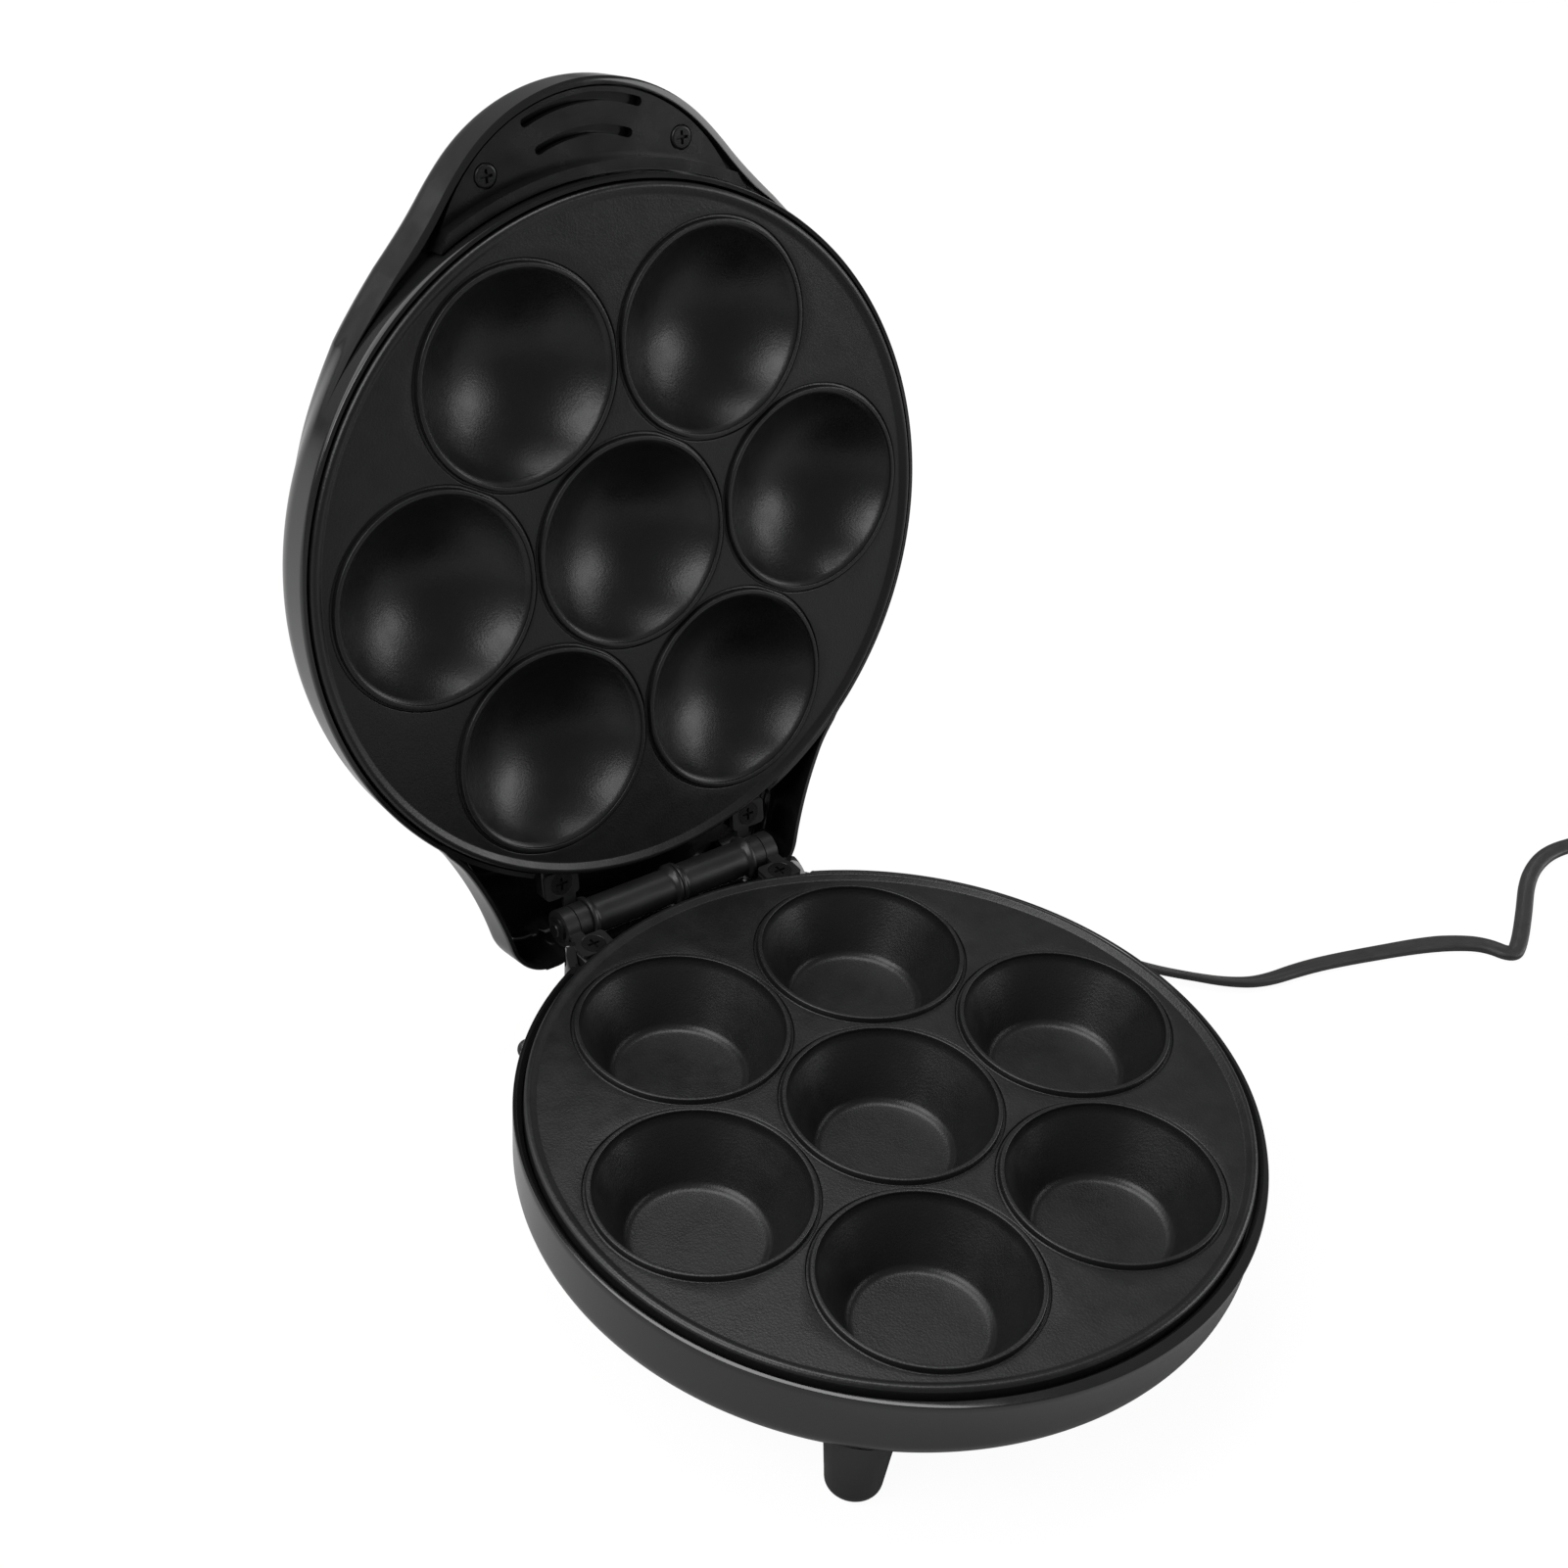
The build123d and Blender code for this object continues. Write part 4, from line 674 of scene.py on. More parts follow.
# ---------------------------------------------------------------------------------- studio
@dataclass(frozen=True)
class Lamp:
    """One soft rectangular lamp: where it stands, the point it faces, its sides and its watts."""

    name: str
    place: tuple[float, float, float]
    aim: tuple[float, float, float]
    size: tuple[float, float]
    power: float

    def build(self) -> None:
        """Hang the lamp.

        Formula: its Z axis points from the aim to the lamp, its X axis lies level, square to it.
        """
        data = bpy.data.lights.new(self.name, "AREA")
        data.shape = "RECTANGLE"
        data.size, data.size_y = self.size
        data.energy = self.power
        lamp = bpy.data.objects.new(self.name, data)
        back = np.array(self.place) - np.array(self.aim)
        back /= np.linalg.norm(back)
        side = np.cross((0.0, 0.0, 1.0), back)
        side /= np.linalg.norm(side)
        matrix = np.eye(4)
        matrix[:3, :3] = np.array([side, np.cross(back, side), back]).T
        matrix[:3, 3] = self.place
        lamp.matrix_world = Matrix(matrix.tolist())
        bpy.context.scene.collection.objects.link(lamp)


@dataclass
class Studio:
    """Camera, pale floor and soft lamps."""

    lens: float = 57.34755968608291
    sensor: float = 36.0
    place: tuple[float, float, float] = (-0.33902800408, -0.34454459284, 0.49608846013)
    right: tuple[float, float, float] = (0.80088465, -0.59266833, 0.08560393)
    down: tuple[float, float, float] = (-0.29836959, -0.51889853, -0.80107421)
    ahead: tuple[float, float, float] = (0.51919107, 0.61602643, -0.59241208)
    floor_half: float = 4.0
    floor_tone: float = 0.44
    floor_glow: float = 1.1
    glow_share: float = 0.87
    sky_level: float = 0.2
    lamps: tuple[Lamp, ...] = (
        Lamp("lamp_top", (0.1, 0.5, 1.6), (0.0, 0.0, 0.0), (1.0, 0.8), 12.0),
        Lamp("lamp_left", (-1.05, 0.05, 1.1), (0.0, 0.0, 0.08), (1.0, 1.0), 13.5),
        Lamp("lamp_right", (1.2, -0.55, 0.5), (0.0, 0.0, 0.12), (1.2, 0.6), 7.6),
        Lamp("lamp_wall", (-1.0, 1.25, 1.1), (-0.25, 0.4, 0.0), (1.8, 1.5), 12.0),
    )
    samples: int = 160

    def camera(self) -> None:
        """Add the camera, with its X to the right, Y up and Z back.

        Formula: the three measured axes are made square to each other by their singular value
        decomposition.
        """
        lens = bpy.data.cameras.new("camera")
        lens.lens = self.lens
        lens.sensor_width = self.sensor
        lens.clip_start = 0.01
        lens.clip_end = 50.0
        camera = bpy.data.objects.new("camera", lens)
        axes = np.array([self.right, -np.array(self.down), -np.array(self.ahead)]).T
        u, _, vt = np.linalg.svd(axes)
        matrix = np.eye(4)
        matrix[:3, :3] = u @ vt
        matrix[:3, 3] = self.place
        camera.matrix_world = Matrix(matrix.tolist())
        bpy.context.scene.collection.objects.link(camera)
        bpy.context.scene.camera = camera

    def floor(self) -> None:
        """Add the pale floor, white to the eye and still shaded by what stands on it."""
        mesh = bpy.data.meshes.new("floor")
        far = self.floor_half
        mesh.from_pydata([(-far, -far, 0), (far, -far, 0), (far, far, 0), (-far, far, 0)], [], [(0, 1, 2, 3)])
        material = bpy.data.materials.new("floor_paper")
        material.use_nodes = True
        tree = material.node_tree
        tree.nodes.clear()
        out = tree.nodes.new("ShaderNodeOutputMaterial")
        paper = tree.nodes.new("ShaderNodeBsdfDiffuse")
        paper.inputs["Color"].default_value = (self.floor_tone, self.floor_tone, self.floor_tone, 1.0)
        glow = tree.nodes.new("ShaderNodeEmission")
        glow.inputs["Color"].default_value = (1.0, 1.0, 1.0, 1.0)
        glow.inputs["Strength"].default_value = self.floor_glow
        path = tree.nodes.new("ShaderNodeLightPath")
        share = tree.nodes.new("ShaderNodeMath")
        share.operation = "MULTIPLY"
        share.inputs[1].default_value = self.glow_share
        mix = tree.nodes.new("ShaderNodeMixShader")
        tree.links.new(path.outputs["Is Camera Ray"], share.inputs[0])
        tree.links.new(share.outputs[0], mix.inputs["Fac"])
        tree.links.new(paper.outputs[0], mix.inputs[1])
        tree.links.new(glow.outputs[0], mix.inputs[2])
        tree.links.new(mix.outputs[0], out.inputs["Surface"])
        mesh.materials.append(material)
        piece = bpy.data.objects.new("floor", mesh)
        bpy.context.scene.collection.objects.link(piece)

    def sky(self) -> None:
        """Set an even surround, white where the eye sees it and dimmer where it lights."""
        world = bpy.data.worlds.new("surround")
        bpy.context.scene.world = world
        world.use_nodes = True
        tree = world.node_tree
        tree.nodes.clear()
        out = tree.nodes.new("ShaderNodeOutputWorld")
        seen = tree.nodes.new("ShaderNodeBackground")
        seen.inputs["Color"].default_value = (1.0, 1.0, 1.0, 1.0)
        seen.inputs["Strength"].default_value = 1.0
        lit = tree.nodes.new("ShaderNodeBackground")
        lit.inputs["Color"].default_value = (1.0, 1.0, 1.0, 1.0)
        lit.inputs["Strength"].default_value = self.sky_level
        path = tree.nodes.new("ShaderNodeLightPath")
        mix = tree.nodes.new("ShaderNodeMixShader")
        tree.links.new(path.outputs["Is Camera Ray"], mix.inputs["Fac"])
        tree.links.new(lit.outputs[0], mix.inputs[1])
        tree.links.new(seen.outputs[0], mix.inputs[2])
        tree.links.new(mix.outputs[0], out.inputs["Surface"])

    def build(self) -> None:
        """Set up the whole studio."""
        self.camera()
        self.floor()
        self.sky()
        for lamp in self.lamps:
            lamp.build()
        scene = bpy.context.scene
        scene.render.engine = "CYCLES"
        scene.cycles.samples = self.samples
        scene.cycles.use_denoising = True
        scene.view_settings.view_transform = "Standard"


# ------------------------------------------------------------------------------------ lead
@dataclass
class FlatLead:
    """Flat twin lead: a spline on the worktop, its coil out of sight, and the flat section."""

    route: tuple[tuple[float, ...], ...] = (
        (22.0, 121.1, 11.6), (22.0, 129.0, 11.6), (23.0, 137.0, 9.8), (27.0, 144.5, 6.6),
        (34.0, 149.0, 4.0), (41.6, 147.6), (52.1, 142.6), (64.1, 132.1), (78.6, 117.6),
        (93.1, 104.6), (106.6, 89.6), (116.6, 70.6), (125.6, 51.6), (135.2, 35.9), (143.8, 26.1),
        (153.0, 17.3), (162.6, 12.1), (179.6, 10.3), (196.6, 6.0), (217.2, -0.5), (230.4, -6.3),
        (239.2, -12.3), (242.8, -21.2), (250.2, -17.5), (263.6, -8.1), (276.4, 1.6),
        (287.4, 6.9), (298.5, 9.0), (311.0, 7.0), (325.0, 7.0),
    )
    diameter: float = 5.6
    wide: float = 5.4
    thick: float = 2.5
    lie_from: float = 6.0
    clear: float = 0.09
    coil_centre: tuple[float, float] = (350.0, -26.0)
    coil_radius: float = 33.0
    coil_step: float = 22.5
    coil_turn: float = 810.0
    spread_at: tuple[float, ...] = (0, 70, 215, 345, 380, 430, 650, 810)
    spread: tuple[float, ...] = (33.0, 35.8, 35.8, 28.2, 28.6, 30.2, 30.2, 33.0)
    rise_at: tuple[float, ...] = (0, 300, 345, 385, 430, 625, 715, 810)
    rise: tuple[float, ...] = (0, 0, 1.6, 1.6, 0, 0, 5.6, 4.3)
    end: tuple[float, float, float] = (383.0, -51.0, 7.0)
    end_run: float = 12.0
    roll_at: tuple[float, ...] = (0, 30, 90, 170, 205, 240, 275, 292, 305, 330, 360, 400, 900)
    rolls: tuple[float, ...] = (0, 0, -20, -30, -33, -8, 2, 16, 10, 4, 12, 0, 0)
    steps: int = 28
    ends_round: float = 2.2
    flat: float = 0.55
    notch_deep: float = 0.30
    notch_wide: float = 0.42

    def coil(self) -> np.ndarray:
        """Spline points of the two and a quarter turns.

        Formula: angle falls from 90 degrees in sixteenths of a turn; the radius opens to the
        outer turn, closes to the inner one before the turn meets its own start, and the height
        lifts over the outer turn on the way out.  A quadratic spline runs inside its points by
        the cosine of half a step, so the radii are divided by it.

        Returns:
            n x 3 array in millimetres.
        """
        turn = np.arange(self.coil_step, self.coil_turn, self.coil_step)
        angle = np.radians(90.0 - turn)
        rad = np.interp(turn, self.spread_at, self.spread) / math.cos(math.radians(self.coil_step / 2))
        return np.stack([
            self.coil_centre[0] + rad * np.cos(angle),
            self.coil_centre[1] + rad * np.sin(angle),
            self.diameter / 2 + np.interp(turn, self.rise_at, self.rise),
        ], axis=-1)

    def centre_line(self) -> np.ndarray:
        """Read the lead's line from its spline.

        Returns:
            n x 3 array in millimetres.
        """
        low = self.diameter / 2
        route = np.array([p if len(p) == 3 else (*p, low) for p in self.route])
        start = np.array([[self.coil_centre[0], self.coil_centre[1] + self.coil_radius, low]])
        last = np.array([
            [self.coil_centre[0] + self.coil_radius, self.coil_centre[1], self.end[2]],
            [self.end[0], self.end[1] + self.end_run, self.end[2]],
            list(self.end),
        ])
        points = np.concatenate([route, start, self.coil(), last]) * MM
        curve = bpy.data.curves.new("lead_line", "CURVE")
        curve.dimensions = "3D"
        curve.resolution_u = 9
        spline = curve.splines.new("NURBS")
        spline.points.add(len(points) - 1)
        spline.points.foreach_set("co", np.c_[points, np.ones(len(points))].ravel())
        spline.order_u = 3
        spline.use_endpoint_u = True
        holder = bpy.data.objects.new("lead_line", curve)
        bpy.context.scene.collection.objects.link(holder)
        bpy.context.view_layer.update()
        graph = bpy.context.evaluated_depsgraph_get()
        line = bpy.data.meshes.new_from_object(holder.evaluated_get(graph))
        out = np.empty(len(line.vertices) * 3)
        line.vertices.foreach_get("co", out)
        bpy.data.objects.remove(holder)
        bpy.data.curves.remove(curve)
        bpy.data.meshes.remove(line)
        return out.reshape(-1, 3) / MM

    def roll(self, run: np.ndarray) -> np.ndarray:
        """Lean of the flat section along the lead, in degrees.

        Formula: straight interpolation over the run, in millimetres from the exit.

        Args:
            run: distance of each section along the lead.

        Returns:
            The lean of each section.
        """
        return np.interp(run, self.roll_at, self.rolls)

    def section(self) -> np.ndarray:
        """Section of the lead.

        Formula: a flat capsule, its halves pushed apart by a hyperbolic tangent, whose half
        height dips by a bell-shaped notch at the middle, where the two cores join.

        Returns:
            Array of (wide, thick), a row for each step round.
        """
        t = np.arange(self.steps) * TAU / self.steps
        half = self.thick / 2
        apart = np.tanh(self.ends_round * np.cos(t)) / math.tanh(self.ends_round)
        x = (self.wide / 2 - half) * apart + half * np.cos(t)
        y = half * np.sign(np.sin(t)) * np.abs(np.sin(t)) ** self.flat
        dip = 1.0 - self.notch_deep * np.exp(-((x / self.notch_wide) ** 2))
        return np.stack([x, y * dip], axis=-1)

    def build(self, jacket: bpy.types.Material) -> bpy.types.Object:
        """Formula: each section stands square to the line, its wide side on the level normal
        turned by the roll; where the lead lies down, the section sinks until it touches.

        Args:
            jacket: finish of the lead.

        Returns:
            The lead.
        """
        line = self.centre_line()
        along = np.gradient(line, axis=0)
        along /= np.linalg.norm(along, axis=1)[:, None]
        left = np.cross((0.0, 0.0, 1.0), along)
        left /= np.linalg.norm(left, axis=1)[:, None]
        up = np.cross(along, left)
        step = np.linalg.norm(np.diff(line, axis=0), axis=1)
        run = np.r_[0.0, np.cumsum(step)]
        lean = np.radians(self.roll(run))[:, None]
        wide = np.cos(lean) * left + np.sin(lean) * up
        thin = -np.sin(lean) * left + np.cos(lean) * up
        reach = (self.wide - self.thick) / 2 * np.abs(np.sin(lean[:, 0])) + self.thick / 2 + self.clear
        lying = np.clip((self.lie_from - line[:, 2]) / (self.lie_from - self.diameter / 2), 0.0, 1.0)
        sunk = line.copy()
        sunk[:, 2] -= (self.diameter / 2 - reach) * lying * lying * (3 - 2 * lying)
        sec = self.section()
        rings = sunk[:, None] + sec[None, :, :1] * wide[:, None] + sec[None, :, 1:] * thin[:, None]
        data = MeshData()
        data.grid(rings, flip=True)
        for end, flip in ((0, False), (-1, True)):
            data.cap(rings[end], sunk[end], flip)
        lead = make_object("flat_lead", data.outward(), jacket, "base", sharp=50)
        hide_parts("cord", "cord_coil")
        log.info("lead length %.4f m", run[-1] * MM)
        return lead


# ------------------------------------------------------------------------------ cast plates
@dataclass
class CastPlate:
    """Cast plate with seven hollows, each with its raised bead, inside a ramped lip.

    Drawn with the lip plane at z = 0 and the body below it, then set in its place; the upper
    plate is drawn by the same steps and turned over.
    """

    name: str
    node: str
    side: Side
    mouth: float
    depth: float
    floor_radius: float = 0.0
    floor_fillet: float = 3.0
    radius: float = PLATE_R
    lip_drop: float = 1.2
    lip_foot: float = 93.2
    lip_crest: float = 94.9
    edge_round: float = 1.2
    skirt: float = 8.0
    skirt_inner: float = 93.9
    web_under: float = 3.6
    wall: float = 2.2
    bead_crest: float = 1.25
    bead_foot: float = 2.35
    bead_round: float = 0.22
    bead_edge: float = 0.3
    groove: float = 0.5
    cell_step: float = 2.0
    ear_x: float = 32.4
    ear_wide: float = 11.0
    ear_drop: float = 1.9
    ear_thick: float = 4.1
    ear_start: float = 87.5
    ear_end: float = 98.1
    ear_corner: float = 1.6
    ear_edge: float = 0.4

    def hollow(self, grow: float = 0.0) -> np.ndarray:
        """Profile of one hollow from its middle to its mouth.

        Formula: with a flat floor, a floor line, a fillet arc and a leaning wall; without one,
        an arc of the sphere through the mouth circle and the lowest point.

        Args:
            grow: how far the profile is moved outwards.

        Returns:
            n x 2 array of (r, z).
        """
        if self.floor_radius:
            lean = math.atan2(self.mouth - self.floor_radius, self.depth - self.lip_drop)
            rise = self.floor_fillet + grow
            low = -self.depth - grow
            foot = self.floor_radius + grow / math.cos(lean) - grow * math.tan(lean)
            cut = rise * math.tan((math.pi / 2 - lean) / 2)
            flat = np.stack([np.linspace(0.0, foot - cut, 12), np.full(12, low)], axis=-1)
            bend = arc_points((foot - cut, low + rise), rise, -90.0, -math.degrees(lean), 9)
            s = np.linspace(0, 1, 10)[1:, None]
            top = np.array([[self.mouth + grow / math.cos(lean), -self.lip_drop]])
            return np.concatenate([flat, bend[1:], bend[-1:] * (1 - s) + top * s])
        ball = (self.mouth**2 + self.depth**2) / (2 * self.depth)
        up = ball - self.depth
        edge = math.degrees(math.asin((-self.lip_drop - up) / (ball + grow)))
        return arc_points((0.0, up), ball + grow, -90.0, edge, 34)

    def bead(self) -> np.ndarray:
        """Profile of the bead from the mouth to its foot.

        Formula: a short upright, a flat crest with an arc at either side, a steep outer side
        down into a narrow groove, and an arc up out of it to the web.

        Returns:
            n x 2 array of (r, z).
        """
        m = self.mouth
        web = -self.lip_drop
        low = web - self.groove
        crest = m + self.bead_crest
        foot = m + self.bead_foot
        inner = arc_points((m + self.bead_round, -self.bead_round), self.bead_round, 180.0, 90.0, 5)
        outer = arc_points((crest - self.bead_edge, -self.bead_edge), self.bead_edge, 90.0, 12.0, 5)
        groove = np.array([
            [crest + 0.22, low + 0.08], [crest + 0.36, low], [foot - 0.34, low], [foot - 0.22, low + 0.14],
            [foot - 0.14, web - 0.12], [foot - 0.06, web - 0.03], [foot + 0.1, web],
        ])
        return np.concatenate([np.array([[m, -0.75]]), inner, outer, groove])

    def reach(self, centre: np.ndarray, angle: np.ndarray) -> tuple[np.ndarray, np.ndarray]:
        """Distance from one hollow's middle to the border of its cell.

        Formula: the least of the six halfway lines to its neighbours, and the circle of the
        lip's foot, each met by a ray from the middle.

        Args:
            centre: middle of the hollow.
            angle: directions of the rays, in radians.

        Returns:
            The distances, and whether each ray ends on the circle.
        """
        ray = np.stack([np.cos(angle), np.sin(angle)], axis=-1)
        best = np.full(len(angle), 1e9)
        for other in self.middles():
            gap = other - centre
            far = np.linalg.norm(gap)
            if far < 1e-6 or far > 1.2 * CUP_PITCH:
                continue
            toward = ray @ (gap / far)
            best = np.minimum(best, np.where(toward > 1e-6, far / 2 / np.maximum(toward, 1e-6), 1e9))
        along = ray @ centre
        circle = -along + np.sqrt(np.maximum(along**2 - (centre @ centre - self.lip_foot**2), 0.0))
        return np.minimum(best, circle), circle <= best + 1e-6

    @staticmethod
    def cell(centre: np.ndarray, rad: np.ndarray, ray: np.ndarray, z: np.ndarray) -> np.ndarray:
        """Polar grid of one cell.

        Formula: the middle plus each radius along its ray, at the height of its row.

        Args:
            centre: middle of the hollow.
            rad: r x c radii.
            ray: c x 2 unit vectors.
            z: r heights.

        Returns:
            r x c x 3 grid.
        """
        high = np.broadcast_to(z[:, None, None], (*rad.shape, 1))
        return np.concatenate([centre + rad[..., None] * ray[None], high], axis=-1)

    def middles(self) -> np.ndarray:
        """Middles of the seven hollows: one in the centre, six round it."""
        t = np.radians(np.arange(0, 360, 60))
        return np.concatenate([[[0.0, 0.0]], CUP_PITCH * np.stack([np.cos(t), np.sin(t)], axis=-1)])

    def shell(self) -> MeshData:
        """Mesh of the plate without its ears.

        Formula: seven cells, each a polar grid about its hollow that runs on to the cell's
        border, above and below, with the bead pressed together where two hollows come close;
        and a ring that carries the lip's and the skirt's profile round the plate from the
        border points.

        Returns:
            The parts.
        """
        data = MeshData()
        top = np.concatenate([self.hollow(), self.bead()])
        under = self.hollow(self.wall)[::3]
        under[0, 0] = 0.0
        corner = math.degrees(math.atan2(self.lip_foot * 0.5, self.lip_foot * math.sqrt(0.75) - CUP_PITCH))
        border: list[np.ndarray] = []
        for count, centre in enumerate(self.middles()):
            turns = np.arange(0.0, 360.0, self.cell_step)
            if count:
                own = 60.0 * (count - 1)
                turns = np.sort(np.r_[turns, (own + corner) % 360.0, (own - corner) % 360.0])
            angle = np.radians(turns)
            ray = np.stack([np.cos(angle), np.sin(angle)], axis=-1)
            far, on_circle = self.reach(centre, angle)
            rim = top[-1, 0]
            press = np.minimum(1.0, (far - self.mouth - 0.04) / (rim - self.mouth))
            rad = np.repeat(top[:, :1], len(angle), axis=1)
            rad = np.where(rad > self.mouth, self.mouth + (rad - self.mouth) * press[None], rad)
            room = far - rad[-1]
            land = rad[-1] + room[None] * np.array([0.3, 0.65])[:, None]
            rad = np.concatenate([rad, land, (far - np.minimum(0.3, 0.3 * room))[None], far[None]])
            z = np.concatenate([top[:, 1], np.full(4, -self.lip_drop)])
            data.grid(self.cell(centre, rad, ray, z), flip=True)
            low = np.minimum(np.repeat(under[:, :1], len(angle), axis=1), 0.985 * far[None])
            low = np.concatenate([low, np.minimum(under[-1, 0], 0.985 * far)[None], far[None]])
            zl = np.r_[under[:, 1], -self.web_under, -self.web_under]
            zl[:-2] = np.minimum(zl[:-2], -self.web_under - 0.01)
            data.grid(self.cell(centre, low, ray, zl))
            border.append((centre + far[:, None] * ray)[on_circle] if count else np.empty((0, 2)))
        points = np.concatenate(border)
        around = np.unique(np.round(np.degrees(np.arctan2(points[:, 1], points[:, 0])) % 360.0, 6))
        around = around[around < 359.9999]
        out = np.radians(around)
        turn = arc_points((self.radius - self.edge_round, -self.edge_round), self.edge_round, 90.0, 0.0, 8)
        line = np.concatenate([
            [[self.lip_foot, -self.lip_drop], [self.lip_foot + 0.25, -self.lip_drop + 0.08],
             [self.lip_crest - 0.25, -0.1], [self.lip_crest, 0.0]],
            [[turn[0, 0] - 0.02, 0.0]],
            turn,
            [[self.radius, -self.skirt + 0.4], [self.radius - 0.4, -self.skirt],
             [self.skirt_inner, -self.skirt], [self.skirt_inner, -self.web_under - 0.01],
             [self.lip_foot, -self.web_under]],
        ])
        ring = np.stack([
            line[:, :1] * np.cos(out)[None],
            line[:, :1] * np.sin(out)[None],
            np.repeat(line[:, 1:], len(out), axis=1),
        ], axis=-1)
        data.grid(ring, flip=True)
        return data

    def build(self, finish: bpy.types.Material) -> bpy.types.Object:
        """Make the plate with its two ears and put it in place.

        Args:
            finish: its coating.

        Returns:
            The plate.
        """
        data = self.shell()
        for way in (-1, 1):
            middle = way * self.ear_x
            half = self.ear_wide / 2
            plan = rounded_plan(middle - half, middle + half, self.ear_start, self.ear_end, self.ear_corner)
            data.slab(plan, -self.ear_drop - self.ear_thick, -self.ear_drop, self.ear_edge)
        placed = MeshData()
        place = LIP_Z if self.side is Side.UP else LIP_Z + LID_GAP
        flip = self.side is Side.DOWN
        for points in data.points:
            points[:, 2] = place + points[:, 2] * self.side.value
        placed.points = data.points
        placed.quads = [q[:, ::-1] for q in data.quads] if flip else data.quads
        placed.tris = [t[:, ::-1] for t in data.tris] if flip else data.tris
        placed.count = data.count
        pose = Pose.LID if flip else Pose.FIXED
        plate = make_object(self.name, placed, finish, "lid" if flip else "base", pose, sharp=38.0)
        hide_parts(self.node)
        return plate


# ----------------------------------------------------------------------------- base housing
@dataclass
class BaseHousing:
    """Round housing with its hinge tab at the back and the thumb lip at the front."""

    radius: float = 99.4
    well: float = 97.0
    wall: float = 2.4
    rim: float = 41.0
    under: float = 18.5
    roll: float = 7.8
    draft: float = 1.5
    chamfer: float = 1.2
    edge: float = 0.45
    edge_middle: float = 0.13
    tab_from: float = 88.9
    tab_half: float = 41.5
    tab_back: float = 102.6
    tab_corner: float = 11.0
    tab_blend: float = 1.66
    deck: float = 34.0
    sill: float = 36.0
    sill_low: float = 34.8
    sill_ramp: float = 0.8
    dip: float = 3.0
    dip_run: float = 1.5
    climb_run: float = 6.5
    collars: tuple[tuple[float, float], ...] = ((-26.95, 1.6), (2.4, 2.8), (26.95, 1.6))
    cheek: float = 42.4
    cheek_inner: float = 38.5
    lift_centre: float = -6.9
    lift_radius: float = 94.5
    lift_taper: float = 10.0
    lift_blend: float = 1.1
    ledge: float = 35.0
    ledge_inner: float = 92.4
    rebate: float = 87.3

    def outline(self) -> tuple[np.ndarray, np.ndarray]:
        """Plan of the housing at the lip plane, and its outward normals.

        Formula: the main circle, a small hollow arc where it meets the tab, the tab's side, its
        round corner and the straight back, on the right; the same mirrored on the left.

        Returns:
            Two n x 2 arrays, run anticlockwise from the front.
        """
        b = self.tab_blend
        up = math.sqrt((self.radius + b) ** 2 - (self.tab_half + b) ** 2)
        join = math.degrees(math.atan2(up, self.tab_half + b))
        main = np.concatenate([np.linspace(-90.0, 50.0, 150, endpoint=False), np.linspace(50.0, join, 40)])
        blend = np.linspace(join, 0.0, 8)[1:]
        corner = np.linspace(0.0, 90.0, 26)
        c = np.radians(main)
        p1 = self.radius * np.stack([np.cos(c), np.sin(c)], axis=-1)
        c = np.radians(blend)
        p2 = np.array([self.tab_half + b, up]) - b * np.stack([np.cos(c), np.sin(c)], axis=-1)
        straight = self.tab_half - self.tab_corner
        p3 = arc_points((straight, self.tab_back - self.tab_corner), self.tab_corner, 0.0, 90.0, 26)
        p4 = np.stack([np.linspace(straight, 0.0, 81)[1:], np.full(80, self.tab_back)], axis=-1)
        turn = np.radians(np.concatenate([main, blend, corner, np.full(80, 90.0)]))
        right = np.concatenate([p1, p2, p3, p4])
        normal = np.stack([np.cos(turn), np.sin(turn)], axis=-1)
        mirror = np.array([-1.0, 1.0])
        left = (right * mirror)[::-1][1:-1]
        left_normal = (normal * mirror)[::-1][1:-1]
        return np.concatenate([right, left]), np.concatenate([normal, left_normal])

    def rim_height(self, plan: np.ndarray) -> np.ndarray:
        """Height of the wall's top along the outline.

        Formula: the rim; by the distance to the back it dips beside the tab and climbs to the
        cheeks; inside the cheeks it is a low sill that dips under the hinge's collars.

        Args:
            plan: n x 2 points of the outline.

        Returns:
            n heights.
        """
        start = math.sqrt(self.radius**2 - self.tab_half**2)
        steps = [start, start + self.dip_run, start + self.climb_run]
        level = np.interp(plan[:, 1], steps, [self.rim, self.rim - self.dip, self.cheek])
        inside = (np.abs(plan[:, 0]) < self.cheek_inner + 0.35) & (plan[:, 1] > 0)
        sill = np.full(len(plan), self.sill)
        for middle, half in self.collars:
            near = np.clip((np.abs(plan[:, 0] - middle) - half) / self.sill_ramp, 0.0, 1.0)
            sill = np.minimum(sill, self.sill_low + (self.sill - self.sill_low) * near)
        return np.where(inside, sill, level)

    def build(self, finish: bpy.types.Material) -> bpy.types.Object:
        """Carry the housing's section round its outline.

        Formula: each row is the outline moved in by an inset at one height; on the front the
        outer rows run out to the thumb lip, an eccentric circle whose radius shrinks downwards;
        the inner rows of the round part lie on circles.

        Args:
            finish: its plastic.

        Returns:
            The housing.
        """
        plan, normal = self.outline()
        top = self.rim_height(plan)
        az = np.arctan2(plan[:, 1], plan[:, 0])
        ray = np.stack([np.cos(az), np.sin(az)], axis=-1)
        tab = plan[:, 1] > self.tab_from
        lean = math.tan(math.radians(self.draft))

